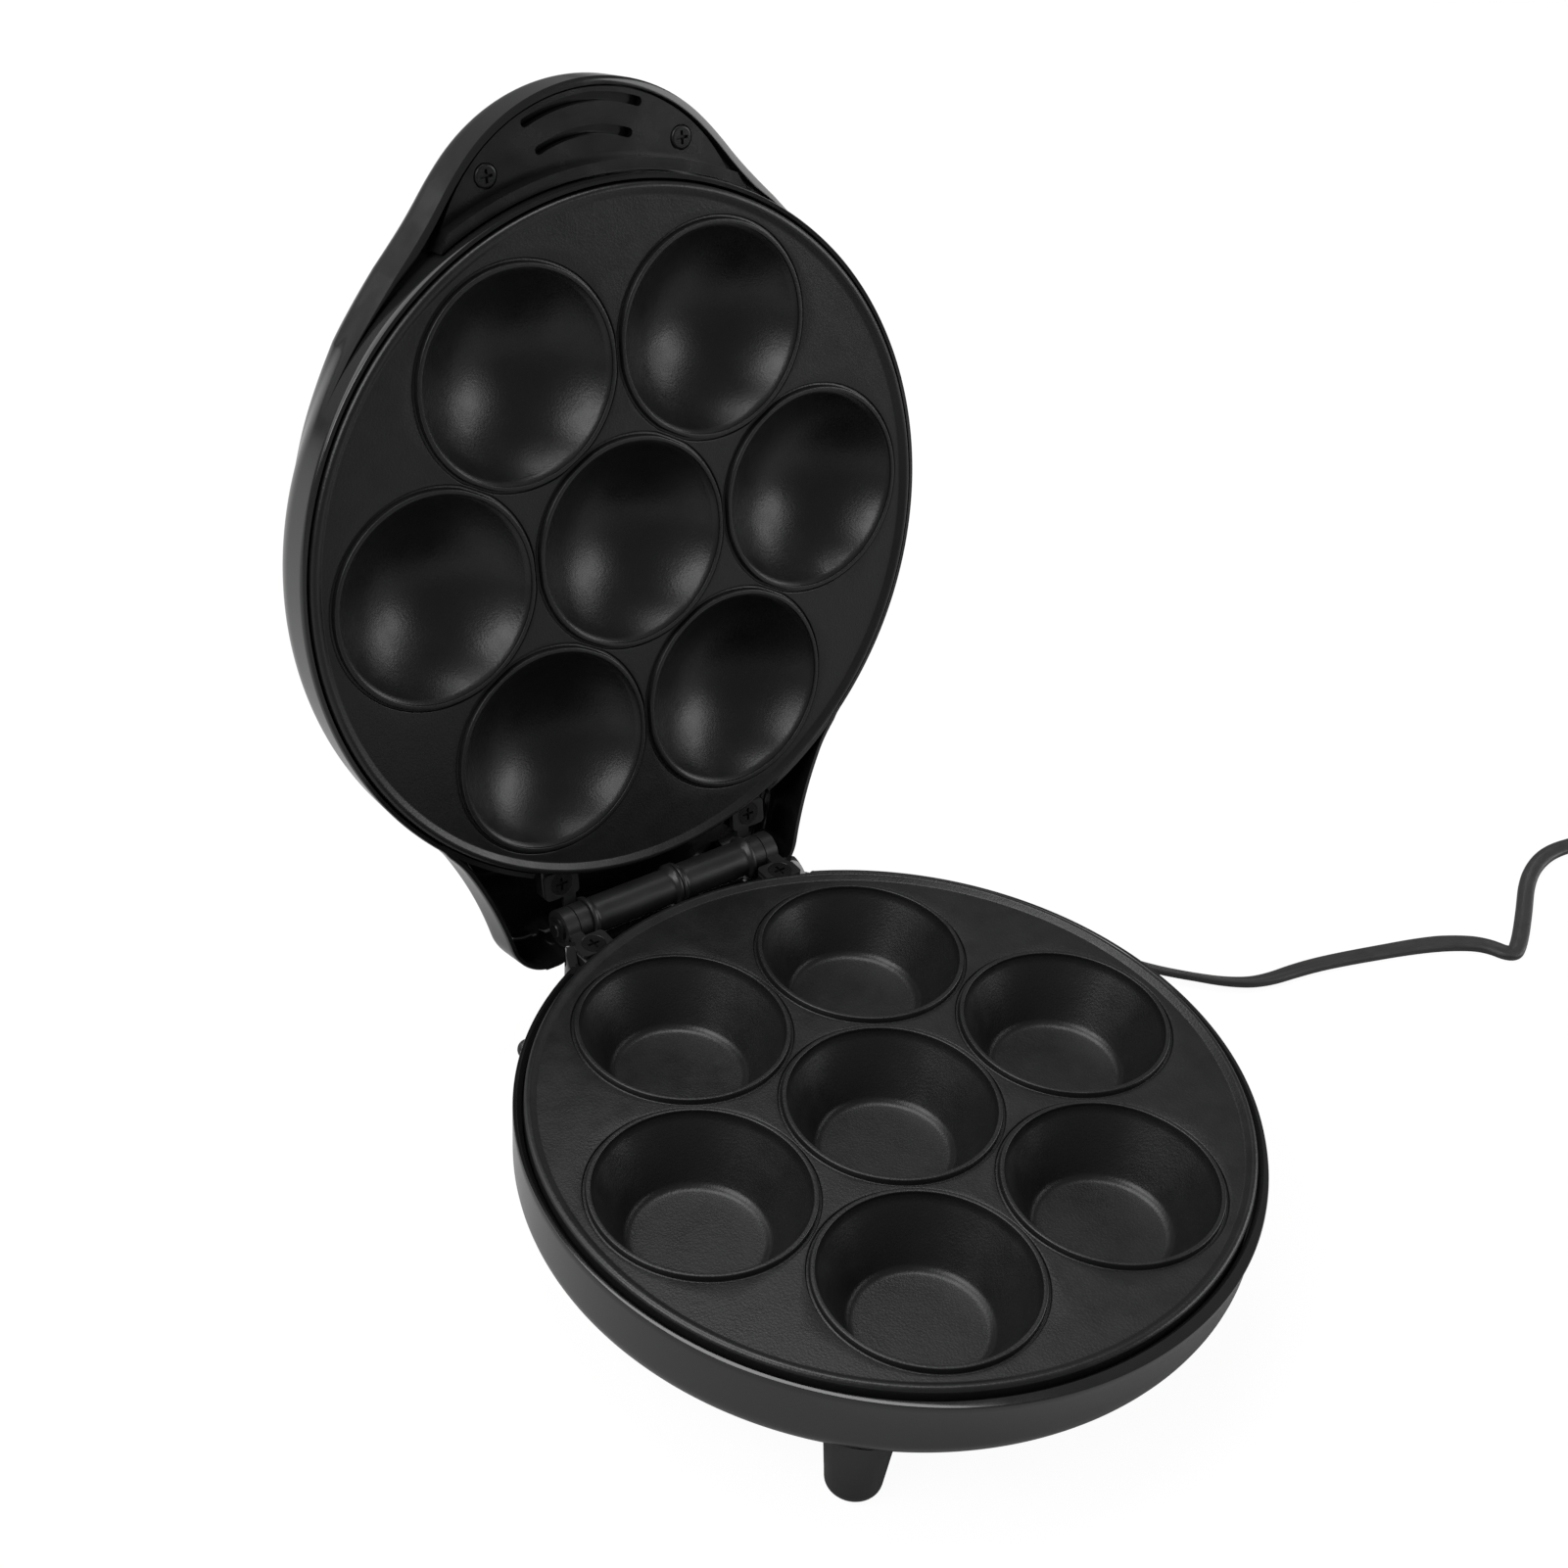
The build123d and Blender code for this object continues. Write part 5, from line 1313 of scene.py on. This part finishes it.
        def row(cut: float, z: np.ndarray | float, lift: bool = True) -> np.ndarray:
            """One row of the outer wall.

            Formula: the outline drawn in by the draft and the cut; on the front it is joined
            softly to the lip's circle.

            Args:
                cut: how far the row is drawn in.
                z: its height.
                lift: whether the thumb lip counts.

            Returns:
                n x 3 points.
            """
            z = np.broadcast_to(np.asarray(z, dtype=float), (len(plan),))
            flat = plan - normal * (lean * (LIP_Z - z) + cut)[:, None]
            if lift:
                size = self.lift_radius - (self.rim - z) * math.tan(math.radians(self.lift_taper)) - cut
                out = self.lift_centre * np.sin(az) + np.sqrt(size**2 - (self.lift_centre * np.cos(az)) ** 2)
                house = np.linalg.norm(flat, axis=1)
                h = np.clip(0.5 + 0.5 * (out - house) / self.lift_blend, 0.0, 1.0)
                far = house * (1 - h) + out * h + self.lift_blend * h * (1 - h)
                flat = np.where((az < 0)[:, None], ray * far[:, None], flat)
            return np.c_[flat, z]

        def ring(radius: float, z: np.ndarray | float, inset: float, z_tab: np.ndarray | float) -> np.ndarray:
            """One inner row: a circle on the round part, the outline moved in on the tab.

            Args:
                radius: of the circle.
                z: its height.
                inset: how far the outline is moved in.
                z_tab: height on the tab.

            Returns:
                n x 3 points.
            """
            z = np.broadcast_to(np.asarray(z, dtype=float), (len(plan),))
            z_tab = np.broadcast_to(np.asarray(z_tab, dtype=float), (len(plan),))
            flat = np.where(tab[:, None], plan - normal * inset, ray * radius)
            return np.c_[flat, np.where(tab, z_tab, z)]

        soft = self.edge
        rows = [row(soft, top), row(self.edge_middle, top - self.edge_middle), row(0.0, top - soft)]
        foot = self.under + self.roll
        for share in (0.12, 0.26, 0.42, 0.6, 0.8, 1.0):
            rows.append(row(0.0, top - soft - (top - soft - foot) * share))
        base_inset = lean * (LIP_Z - foot)
        for a in np.radians(np.linspace(0.0, -90.0, 13)[1:]):
            z = foot + self.roll * math.sin(a)
            rows.append(row(base_inset + self.roll * (1 - math.cos(a)) - lean * (LIP_Z - z), z, lift=False))
        rows.append(np.c_[ray * self.rebate, np.full(len(plan), self.under)])
        floor = self.under + self.wall
        rows.append(np.c_[ray * self.rebate, np.full(len(plan), floor)])
        rows.append(ring(self.radius - 9.0, floor, 8.8, floor))
        rows.append(ring(self.radius - 3.3, self.under + 8.5, 3.3, self.under + 8.5))
        rows.append(ring(self.well - 0.1, 31.4, 2.9, 31.6))
        rows.append(np.c_[ray * self.ledge_inner, np.full(len(plan), self.ledge - self.wall)])
        rows.append(np.c_[ray * self.ledge_inner, np.full(len(plan), self.ledge)])
        rows.append(np.c_[ray * self.well, np.where(tab, self.deck, self.ledge)])
        rows.append(ring(self.well, self.rim - self.chamfer, 3.0, self.deck))
        rows.append(ring(self.well + self.chamfer, top, 3.0, top))
        data = MeshData()
        data.grid(np.stack(rows), rings=True)
        house = make_object("housing", data.outward(), finish, "base", sharp=36.0)
        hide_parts("base_housing")
        return house


# -------------------------------------------------------------------------------- lid shell
@dataclass
class LidShell:
    """Domed lid with the grip that grows out of its front and the flared back.

    The skin is one closed surface.  Rays from a point in the middle of the lid, nine
    millimetres over the lip plane, meet it where a distance function is zero.
    """

    radius: float = 98.6
    wall: float = 1.6
    wall_top: float = 1.3
    rim: float = 1.6
    draft: float = 4.8
    roll: float = 14.4
    crown: float = 518.0
    height: float = 35.2
    grip_centre: float = -72.0
    grip_radius: float = 50.8
    grip_flank: float = 60.0
    grip_rim: float = 9.0
    grip_top: float = 27.2
    grip_tilt: float = 0.06
    grip_draft: float = 2.3
    top_from: float = -50.0
    top_fall: float = 0.004
    grip_roll: float = 10.0
    web_from: float = 82.5
    web_fade: float = 0.13
    web_soft: float = 15.0
    grip_wall: float = 2.4
    pocket: float = 12.4
    back: float = 119.5
    back_half: float = 48.0
    back_run: float = 47.0
    back_flare: float = 18.0
    back_sag: float = 2.9
    back_corner: float = 10.0
    back_top: float = 20.0
    back_roll: float = 8.4
    notch_half: float = 30.7
    notch_corner: float = 5.0
    notch_top: float = 7.0
    blend: float = 3.2
    grip_to: float = 10.0
    tail_from: float = 40.0
    draw_in_from: float = -66.0
    ray_climb: float = 0.27
    crown_rows: int = 64
    inner_rows: int = 36
    proud_least: float = 0.03
    rim_soft: float = 0.3
    cheek_end: float = 109.3
    cheek_slope: float = 3.42
    cheek_top: float = 18.6
    partition_from: float = 46.0
    partition_to: float = 65.5
    halvings: int = 34

    @staticmethod
    def fillet(a: np.ndarray, b: np.ndarray, radius: float) -> np.ndarray:
        """Distance to the shape inside both a and b, their edge rounded.

        Formula: the length of the positive parts of a + radius and b + radius, plus the
        greater of the two where both are negative, less the radius.

        Args:
            a: distance to the one.
            b: distance to the other.
            radius: of the rounding.

        Returns:
            The distance.
        """
        u = a + radius
        v = b + radius
        return np.minimum(np.maximum(u, v), 0.0) + np.hypot(np.maximum(u, 0.0), np.maximum(v, 0.0)) - radius

    @staticmethod
    def join(a: np.ndarray, b: np.ndarray, soft: float) -> np.ndarray:
        """Distance to the shape inside either, with a soft hollow where they meet.

        Formula: the lesser of a and b, lowered by a parabola where they differ by less than
        the softness.

        Args:
            a: distance to the one.
            b: distance to the other.
            soft: the softness.

        Returns:
            The distance.
        """
        h = np.clip(0.5 + 0.5 * (b - a) / soft, 0.0, 1.0)
        return b * (1 - h) + a * h - soft * h * (1 - h)

    def dome(self, x: np.ndarray, y: np.ndarray, z: np.ndarray) -> np.ndarray:
        """Distance to the dome.

        Formula: a leaning wall and a shallow sphere, rounded where they meet.

        Args:
            x: to the right.
            y: to the back.
            z: height over the lip plane.

        Returns:
            The distance.
        """
        lean = math.radians(self.draft)
        r = np.hypot(x, y)
        side = (r - self.radius + (z - self.rim) * math.tan(lean)) * math.cos(lean)
        over = np.sqrt(r**2 + (z - self.height + self.crown) ** 2) - self.crown
        return self.fillet(side, over, self.roll)

    def grip(self, x: np.ndarray, y: np.ndarray, z: np.ndarray) -> np.ndarray:
        """Distance to the grip: a round front whose flanks sweep into the dome.

        Formula: in plan, the front's circle and its two tangents are joined softly to the
        dome's circle, which shrinks towards the back so that the sweep dies out inside the
        dome; the walls lean in and are rounded into a top that falls a little to the front
        and, by a parabola, sinks into the dome behind.

        Args:
            x: to the right.
            y: to the back.
            z: height over the lip plane.

        Returns:
            The distance.
        """
        turn = math.radians(self.grip_flank - 90.0)
        dy = y - self.grip_centre
        front = np.hypot(x, dy) - self.grip_radius
        flank = np.abs(x) * math.cos(turn) + dy * math.sin(turn) - self.grip_radius
        plan = np.where(dy * math.cos(turn) > np.abs(x) * math.sin(turn), flank, front)
        plan = plan + 0.35 * np.maximum(y - self.draw_in_from, 0.0)
        disc = np.hypot(x, y) - self.radius + self.web_fade * np.maximum(y + self.web_from, 0.0)
        plan = self.join(plan, disc, self.web_soft)
        plan = plan + (z - self.grip_rim) * math.tan(math.radians(self.grip_draft))
        top = self.grip_top + self.grip_tilt * (y - self.grip_centre + self.grip_radius)
        top = top - self.top_fall * np.maximum(y - self.top_from, 0.0) ** 2
        return self.fillet(plan, z - top, self.grip_roll)

    def tail(self, x: np.ndarray, y: np.ndarray, z: np.ndarray) -> np.ndarray:
        """Distance to the flared back.

        Formula: the outside of a circle through three points of either flank, a straight end
        and a flat top, all rounded; ahead of the flanks it draws in, to end inside the dome.

        Args:
            x: to the right.
            y: to the back.
            z: height over the lip plane.

        Returns:
            The distance.
        """
        wide = self.back_half + self.back_flare
        a = np.array([self.back_half, self.back])
        m = np.array([(self.back_half + wide) / 2 - self.back_sag, self.back - self.back_run / 2])
        c = np.array([wide, self.back - self.back_run])
        lhs = 2 * np.array([m - a, c - a])
        centre = np.linalg.solve(lhs, [m @ m - a @ a, c @ c - a @ a])
        size = np.linalg.norm(a - centre)
        flank = size - np.hypot(np.abs(x) - centre[0], y - centre[1])
        plan = self.fillet(flank, y - self.back, self.back_corner)
        plan = plan + 0.6 * np.maximum(self.back - self.back_run + 1.5 - y, 0.0)
        return self.fillet(plan, z - self.back_top, self.back_roll)

    def field(self, x: np.ndarray, y: np.ndarray, z: np.ndarray, with_grip: bool) -> np.ndarray:
        """Distance to the whole lid.

        Formula: the dome, the back and the grip, joined softly.

        Args:
            x: to the right.
            y: to the back.
            z: height over the lip plane.
            with_grip: whether the grip counts.

        Returns:
            The distance.
        """
        tail = np.where(y > self.tail_from, self.tail(x, y, z), FAR_OFF)
        out = self.join(self.dome(x, y, z), tail, self.blend)
        if with_grip:
            grip = np.where(y < self.grip_to, self.grip(x, y, z), FAR_OFF)
            out = self.join(out, grip, self.blend)
        return out

    def level(
        self,
        az: np.ndarray,
        z: np.ndarray | float,
        with_grip: bool,
        inset: np.ndarray | float = 0.0,
    ) -> np.ndarray:
        """Radius of the skin round one level.

        Formula: the outermost radius with a distance of minus the inset, halved down to from
        a span of 60 to 135 millimetres.

        Args:
            az: azimuths in radians.
            z: height over the lip plane.
            with_grip: whether the grip counts.
            inset: how far inside the skin.

        Returns:
            The radii.
        """
        low = np.full(az.shape, 60.0)
        high = np.full(az.shape, 135.0)
        for _ in range(self.halvings):
            mid = (low + high) / 2
            inside = self.field(mid * np.cos(az), mid * np.sin(az), z + 0 * mid, with_grip) < -inset
            low = np.where(inside, mid, low)
            high = np.where(inside, high, mid)
        return (low + high) / 2

    def over(self, az: np.ndarray, rows: int, with_grip: bool, inset: float = 0.0) -> np.ndarray:
        """Skin above nine millimetres as a grid of ray hits.

        Formula: a ray climbs by the arc tangent of the climb times tan p, p running evenly
        from 0 to a right angle, and is halved down to the distance of minus the inset.

        Args:
            az: azimuths in radians.
            rows: number of rows from the wall to the crown.
            with_grip: whether the grip counts.
            inset: how far inside the skin.

        Returns:
            rows x n x 3 grid over the lip plane.
        """
        p = np.linspace(0.0, math.pi / 2, rows)[:, None]
        climb = np.arctan2(self.ray_climb * np.sin(p), np.cos(p))
        dx = np.cos(climb) * np.cos(az)[None]
        dy = np.cos(climb) * np.sin(az)[None]
        dz = np.broadcast_to(np.sin(climb), dx.shape)
        low = np.full(dx.shape, 5.0)
        high = np.full(dx.shape, 140.0)
        for _ in range(self.halvings):
            mid = (low + high) / 2
            inside = self.field(mid * dx, mid * dy, self.grip_rim + mid * dz, with_grip) < -inset
            low = np.where(inside, mid, low)
            high = np.where(inside, high, mid)
        grid = np.stack([low * dx, low * dy, self.grip_rim + low * dz], axis=-1)
        grid[-1, :, :2] = 0.0
        grid[-1, :, 2] = grid[-1, :, 2].mean()
        return grid

    def azimuths(self) -> np.ndarray:
        """Azimuths round the lid, closer at the grip's flanks and at the gap in the back.

        Formula: whole degrees, with finer steps on one side and their mirror on the other.

        Returns:
            The azimuths in radians, rising.
        """
        edge = math.degrees(math.atan2(self.back, self.notch_half + self.notch_corner))
        base = np.arange(-90.0, 270.0, 1.0)
        flank = np.arange(-58, -28, 0.25)
        back = np.arange(44, 74, 0.5)
        ends = np.array([edge - 0.02, edge + 0.02])
        half = np.r_[flank, back, ends]
        mirror = (180.0 - half) % 360.0
        return np.radians(np.unique(np.round(np.r_[base, half, mirror], 4)))

    def skin(self) -> MeshData:
        """Mesh of the closed skin, inside and out.

        Formula: the crown's rows, then the grip's under side and pocket, the outer wall down
        to the rounded rim, and back up the inner wall to the inner crown.

        Returns:
            The skin, facing outwards.
        """
        az = self.azimuths()
        ray = np.stack([np.cos(az), np.sin(az)], axis=-1)

        def row(rad: np.ndarray, z: np.ndarray | float) -> np.ndarray:
            """One row at given radii and height."""
            return np.c_[rad[:, None] * ray, np.broadcast_to(np.asarray(z, dtype=float), rad.shape)]

        edge = math.atan2(self.back, self.notch_half + self.notch_corner)
        gap = (az > edge) & (az < math.pi - edge)
        outer = self.over(az, self.crown_rows, True)[::-1]
        inner = self.over(az, self.inner_rows, False, self.wall_top)
        low = np.full(len(az), self.grip_rim)
        foot = np.where(gap, self.notch_top, self.rim)
        b = np.hypot(outer[-1, :, 0], outer[-1, :, 1])
        d = self.level(az, self.grip_rim, False)
        proud = np.where(b - d > self.proud_least, b - d, 0.0)
        thick = np.minimum(self.grip_wall, 0.5 * proud)
        up = low + (self.pocket - self.grip_rim) * np.clip((proud - 0.3) / 1.2, 0.0, 1.0)
        rows = [
            row(b - np.minimum(0.4, 0.2 * proud), low - np.minimum(0.25, 0.1 * proud)),
            row(b - thick + np.minimum(0.3, 0.1 * proud), low - np.minimum(0.25, 0.1 * proud)),
            row(b - thick, low + np.minimum(0.3, 0.1 * proud)),
            row(b - thick, up),
            row(self.level(az, up, False), up),
        ]
        for share in (0.0, 0.25, 0.5, 0.75, 0.94):
            z = up - (up - foot) * share
            rows.append(row(self.level(az, z, False), z))
        soft = np.where(gap, 0.0, self.rim_soft)
        rows.append(row(self.level(az, foot, False) - soft, foot))
        rows.append(row(self.level(az, foot, False, self.wall) + soft, foot))
        for share in (0.08, 0.5, 1.0):
            z = foot + (low - foot) * share
            inset = self.wall + (self.wall_top - self.wall) * (z - self.rim) / (self.grip_rim - self.rim)
            rows.append(row(self.level(az, z, False, np.clip(inset, self.wall_top, self.wall)), z))
        grid = np.concatenate([outer, np.stack(rows), inner[1:]])
        grid[..., 2] += LIP_Z
        data = MeshData()
        data.grid(grid)
        return data.outward()

    def cheek(self, way: int) -> MeshData:
        """Wall beside the gap in the back, with its rounded corner and sloping front.

        Formula: a path forward from the back wall, round the corner by an arc, then straight;
        the wall's two faces lie half a thickness either side of it, from the rim to the
        inside of the top, and the front end leans back towards the rim.

        Args:
            way: 1 for the right, -1 for the left.

        Returns:
            The wall, facing outwards.
        """
        mid = self.wall / 2
        r = self.notch_corner - mid
        centre = (self.notch_half + self.notch_corner, self.back - self.notch_corner)
        arc = arc_points(centre, r, 90.0, 180.0, 10)
        arc[:, 1] = np.minimum(arc[:, 1], self.back - mid)
        straight = np.linspace(centre[1], self.cheek_end, 5)[1:]
        line = np.stack([np.full(4, self.notch_half + mid), straight], axis=-1)
        path = np.concatenate([[[centre[0] + 4.0, self.back - mid - 0.05]], arc, line])
        along = np.gradient(path, axis=0)
        along /= np.linalg.norm(along, axis=1)[:, None]
        normal = np.stack([along[:, 1], -along[:, 0]], axis=-1)
        low = self.rim + 0.02
        high = self.cheek_top
        bottom = low + self.cheek_slope * np.maximum(centre[1] - path[:, 1], 0.0)
        bottom = np.minimum(bottom, high - 0.6)
        a = path + normal * mid
        b = path - normal * mid
        top = np.full(len(path), high)
        top[0] = high - 2.0
        lines = np.stack([np.c_[a, bottom], np.c_[a, top], np.c_[b, top], np.c_[b, bottom]])
        lines[..., 0] *= way
        lines[..., 2] += LIP_Z
        data = MeshData()
        data.bar(lines)
        return data.outward()

    def partition(self, way: int) -> MeshData:
        """Lower wall of the dome that runs on behind the plate, inside the flared back.

        Formula: a strip along the circle of the wall, with the wall's thickness, from the rim
        up to the inside of the top.

        Args:
            way: 1 for the right, -1 for the left.

        Returns:
            The wall, facing outwards.
        """
        az = np.radians(np.linspace(self.partition_from, self.partition_to, 24))
        foot = self.rim + 0.1
        corners = ((98.3, foot), (98.0, 14.0), (96.4, 14.0), (96.9, foot))
        lines = np.stack([
            np.stack([rad * np.cos(az) * way, rad * np.sin(az), np.full(24, z + LIP_Z)], axis=-1)
            for rad, z in corners
        ])
        data = MeshData()
        data.bar(lines)
        return data.outward()

    def build(self, finish: bpy.types.Material) -> bpy.types.Object:
        """Make the lid shell.

        Args:
            finish: its plastic.

        Returns:
            The shell.
        """
        data = self.skin()
        for way in (-1, 1):
            data.take(self.cheek(way))
            data.take(self.partition(way))
        shell = make_object("lid_skin", data, finish, "lid", Pose.LID, sharp=40.0)
        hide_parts("lid_shell")
        return shell


# ----------------------------------------------------------------------------------- hinge
@dataclass
class HingeSleeves:
    """The two sleeves that fill the hinge line, each with a flared collar at either end."""

    spans: tuple[tuple[str, str, str, float, float], ...] = (
        ("sleeve_left", "hinge_sleeve_left", "base", -27.95, 2.25),
        ("sleeve_right", "hinge_sleeve_right", "base", 2.55, 27.95),
    )
    radius: float = 5.4
    collar: float = 6.4
    collar_wide: float = 2.0
    bore: float = 2.08
    steps: int = 72

    def profile(self, start: float, end: float) -> np.ndarray:
        """Closed profile of one sleeve along the axis.

        Formula: corners of the bore, the collar's face, its rim, its cone and the waist, each
        rounded by a small quadratic curve; the second half mirrors the first.

        Args:
            start: left end.
            end: right end.

        Returns:
            n x 2 array of (x, r).
        """
        w = self.collar_wide
        left = [
            (start, self.bore, 0.15), (start, self.collar, 0.35), (start + w / 2, self.collar, 0.3),
            (start + w, self.radius - 0.05, 0.4), (start + w + 1.4, self.radius, 0.3),
        ]
        right = [(start + end - x, r, c) for x, r, c in reversed(left)]
        return round_corners(left + right, per=5, closed=True)

    def build(self, finish: bpy.types.Material) -> None:
        """Make both sleeves.

        Args:
            finish: their plating.
        """
        t = np.arange(self.steps) * TAU / self.steps
        for name, node, body, start, end in self.spans:
            line = self.profile(start, end)
            rows = np.stack([
                np.repeat(line[:, :1], self.steps, axis=1),
                HINGE_Y + line[:, 1:] * np.cos(t)[None],
                HINGE_Z + line[:, 1:] * np.sin(t)[None],
            ], axis=-1)
            data = MeshData()
            data.grid(rows, rings=True)
            sleeve = make_object(name, data.outward(), finish, body, sharp=34.0)
            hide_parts(node)


# -------------------------------------------------------------------------------- the maker
class Finish(Enum):
    """The finishes of the maker, by the piece that wears them."""

    SHELL = GlossPlastic("gloss_black")
    CAST = NonStick("nonstick_coat")
    MOULDED = GrainPlastic("grained_black")
    COVER = GrainPlastic("cover_black", tone=(0.0035, 0.0035, 0.0037), rough=(0.2, 0.3), grain=0.12)
    STRAP = GrainPlastic("black_plated_steel", rough=(0.28, 0.4), grain=0.12)
    PIN = Metal("blackened_steel", (0.022, 0.022, 0.023), (0.22, 0.38), 0.6, streak=(1.0, 8.0, 8.0))
    SCREW = Metal("plated_screw", (0.50, 0.50, 0.51))
    TUBE = Metal("heater_sheath", (0.20, 0.19, 0.18), rough=(0.35, 0.55))
    SHEET = Metal("bright_sheet", (0.72, 0.72, 0.73), rough=(0.2, 0.38), streak=(1.0, 14.0, 1.0))
    PAD = Rubber("pad_rubber", rough=(0.6, 0.8))
    JACKET = Rubber("lead_jacket")
    BLOCK = GrainPlastic("block_plastic", tone=(0.62, 0.60, 0.54))
    SLEEVE = Rubber("braided_sleeve", tone=(0.55, 0.52, 0.46), rough=(0.7, 0.9))
    BRASS = Metal("blade_brass", (0.80, 0.62, 0.34), rough=(0.2, 0.32))
    RED = ClearTint("red_lens", (0.55, 0.02, 0.012))
    GREEN = ClearTint("green_lens", (0.02, 0.36, 0.06))


class Palette:
    """Builds each finish once."""

    def __init__(self) -> None:
        """Start with no material built."""
        self.made: dict[Finish, bpy.types.Material] = {}

    def get(self, finish: Finish) -> bpy.types.Material:
        """Return the material of a finish."""
        if finish not in self.made:
            self.made[finish] = finish.value.build()
        return self.made[finish]

    def dress(self, finish: Finish, *nodes: str) -> None:
        """Give CAD nodes that stay in sight a finish.

        Args:
            finish: what they wear.
            nodes: names of the nodes.
        """
        for node in nodes:
            for slot in bpy.data.objects[node].material_slots:
                slot.material = self.get(finish)
            log.info("%s: %s", node, finish.name.lower())


def main() -> None:
    """Build the studio and the maker."""
    logging.basicConfig(level=logging.INFO)
    palette = Palette()
    Studio().build()
    FlatLead().build(palette.get(Finish.JACKET))
    CastPlate("lower_casting", "lower_plate", Side.UP, 28.0, 18.7, 18.6).build(palette.get(Finish.CAST))
    CastPlate("upper_casting", "upper_plate", Side.DOWN, 28.4, 17.0).build(palette.get(Finish.CAST))
    BaseHousing().build(palette.get(Finish.SHELL))
    LidShell().build(palette.get(Finish.SHELL))
    HingeSleeves().build(palette.get(Finish.STRAP))
    palette.dress(Finish.COVER, "handle_cover")
    palette.dress(Finish.MOULDED, "bottom_cover", "strain_relief", "plug_body")
    palette.dress(Finish.STRAP, "lower_hinge_straps", "upper_hinge_straps")
    palette.dress(Finish.PIN, "hinge_pin", "hinge_clips", "handle_screws")
    palette.dress(Finish.PIN, "lower_ear_screws", "upper_ear_screws")
    palette.dress(Finish.SCREW, "lower_clamp_screws", "tie_screws", "upper_clamp_screws")
    palette.dress(Finish.TUBE, "lower_heater", "upper_heater")
    palette.dress(Finish.SHEET, "reflector", "lower_heater_clamps", "upper_heater_clamps", "thermostat")
    palette.dress(Finish.PAD, "foot_pads")
    palette.dress(Finish.BLOCK, "terminal_block")
    palette.dress(Finish.SLEEVE, "base_wiring")
    palette.dress(Finish.BRASS, "plug_blades")
    palette.dress(Finish.RED, "power_lamp_lens")
    palette.dress(Finish.GREEN, "ready_lamp_lens")


if __name__ == "__main__":
    main()
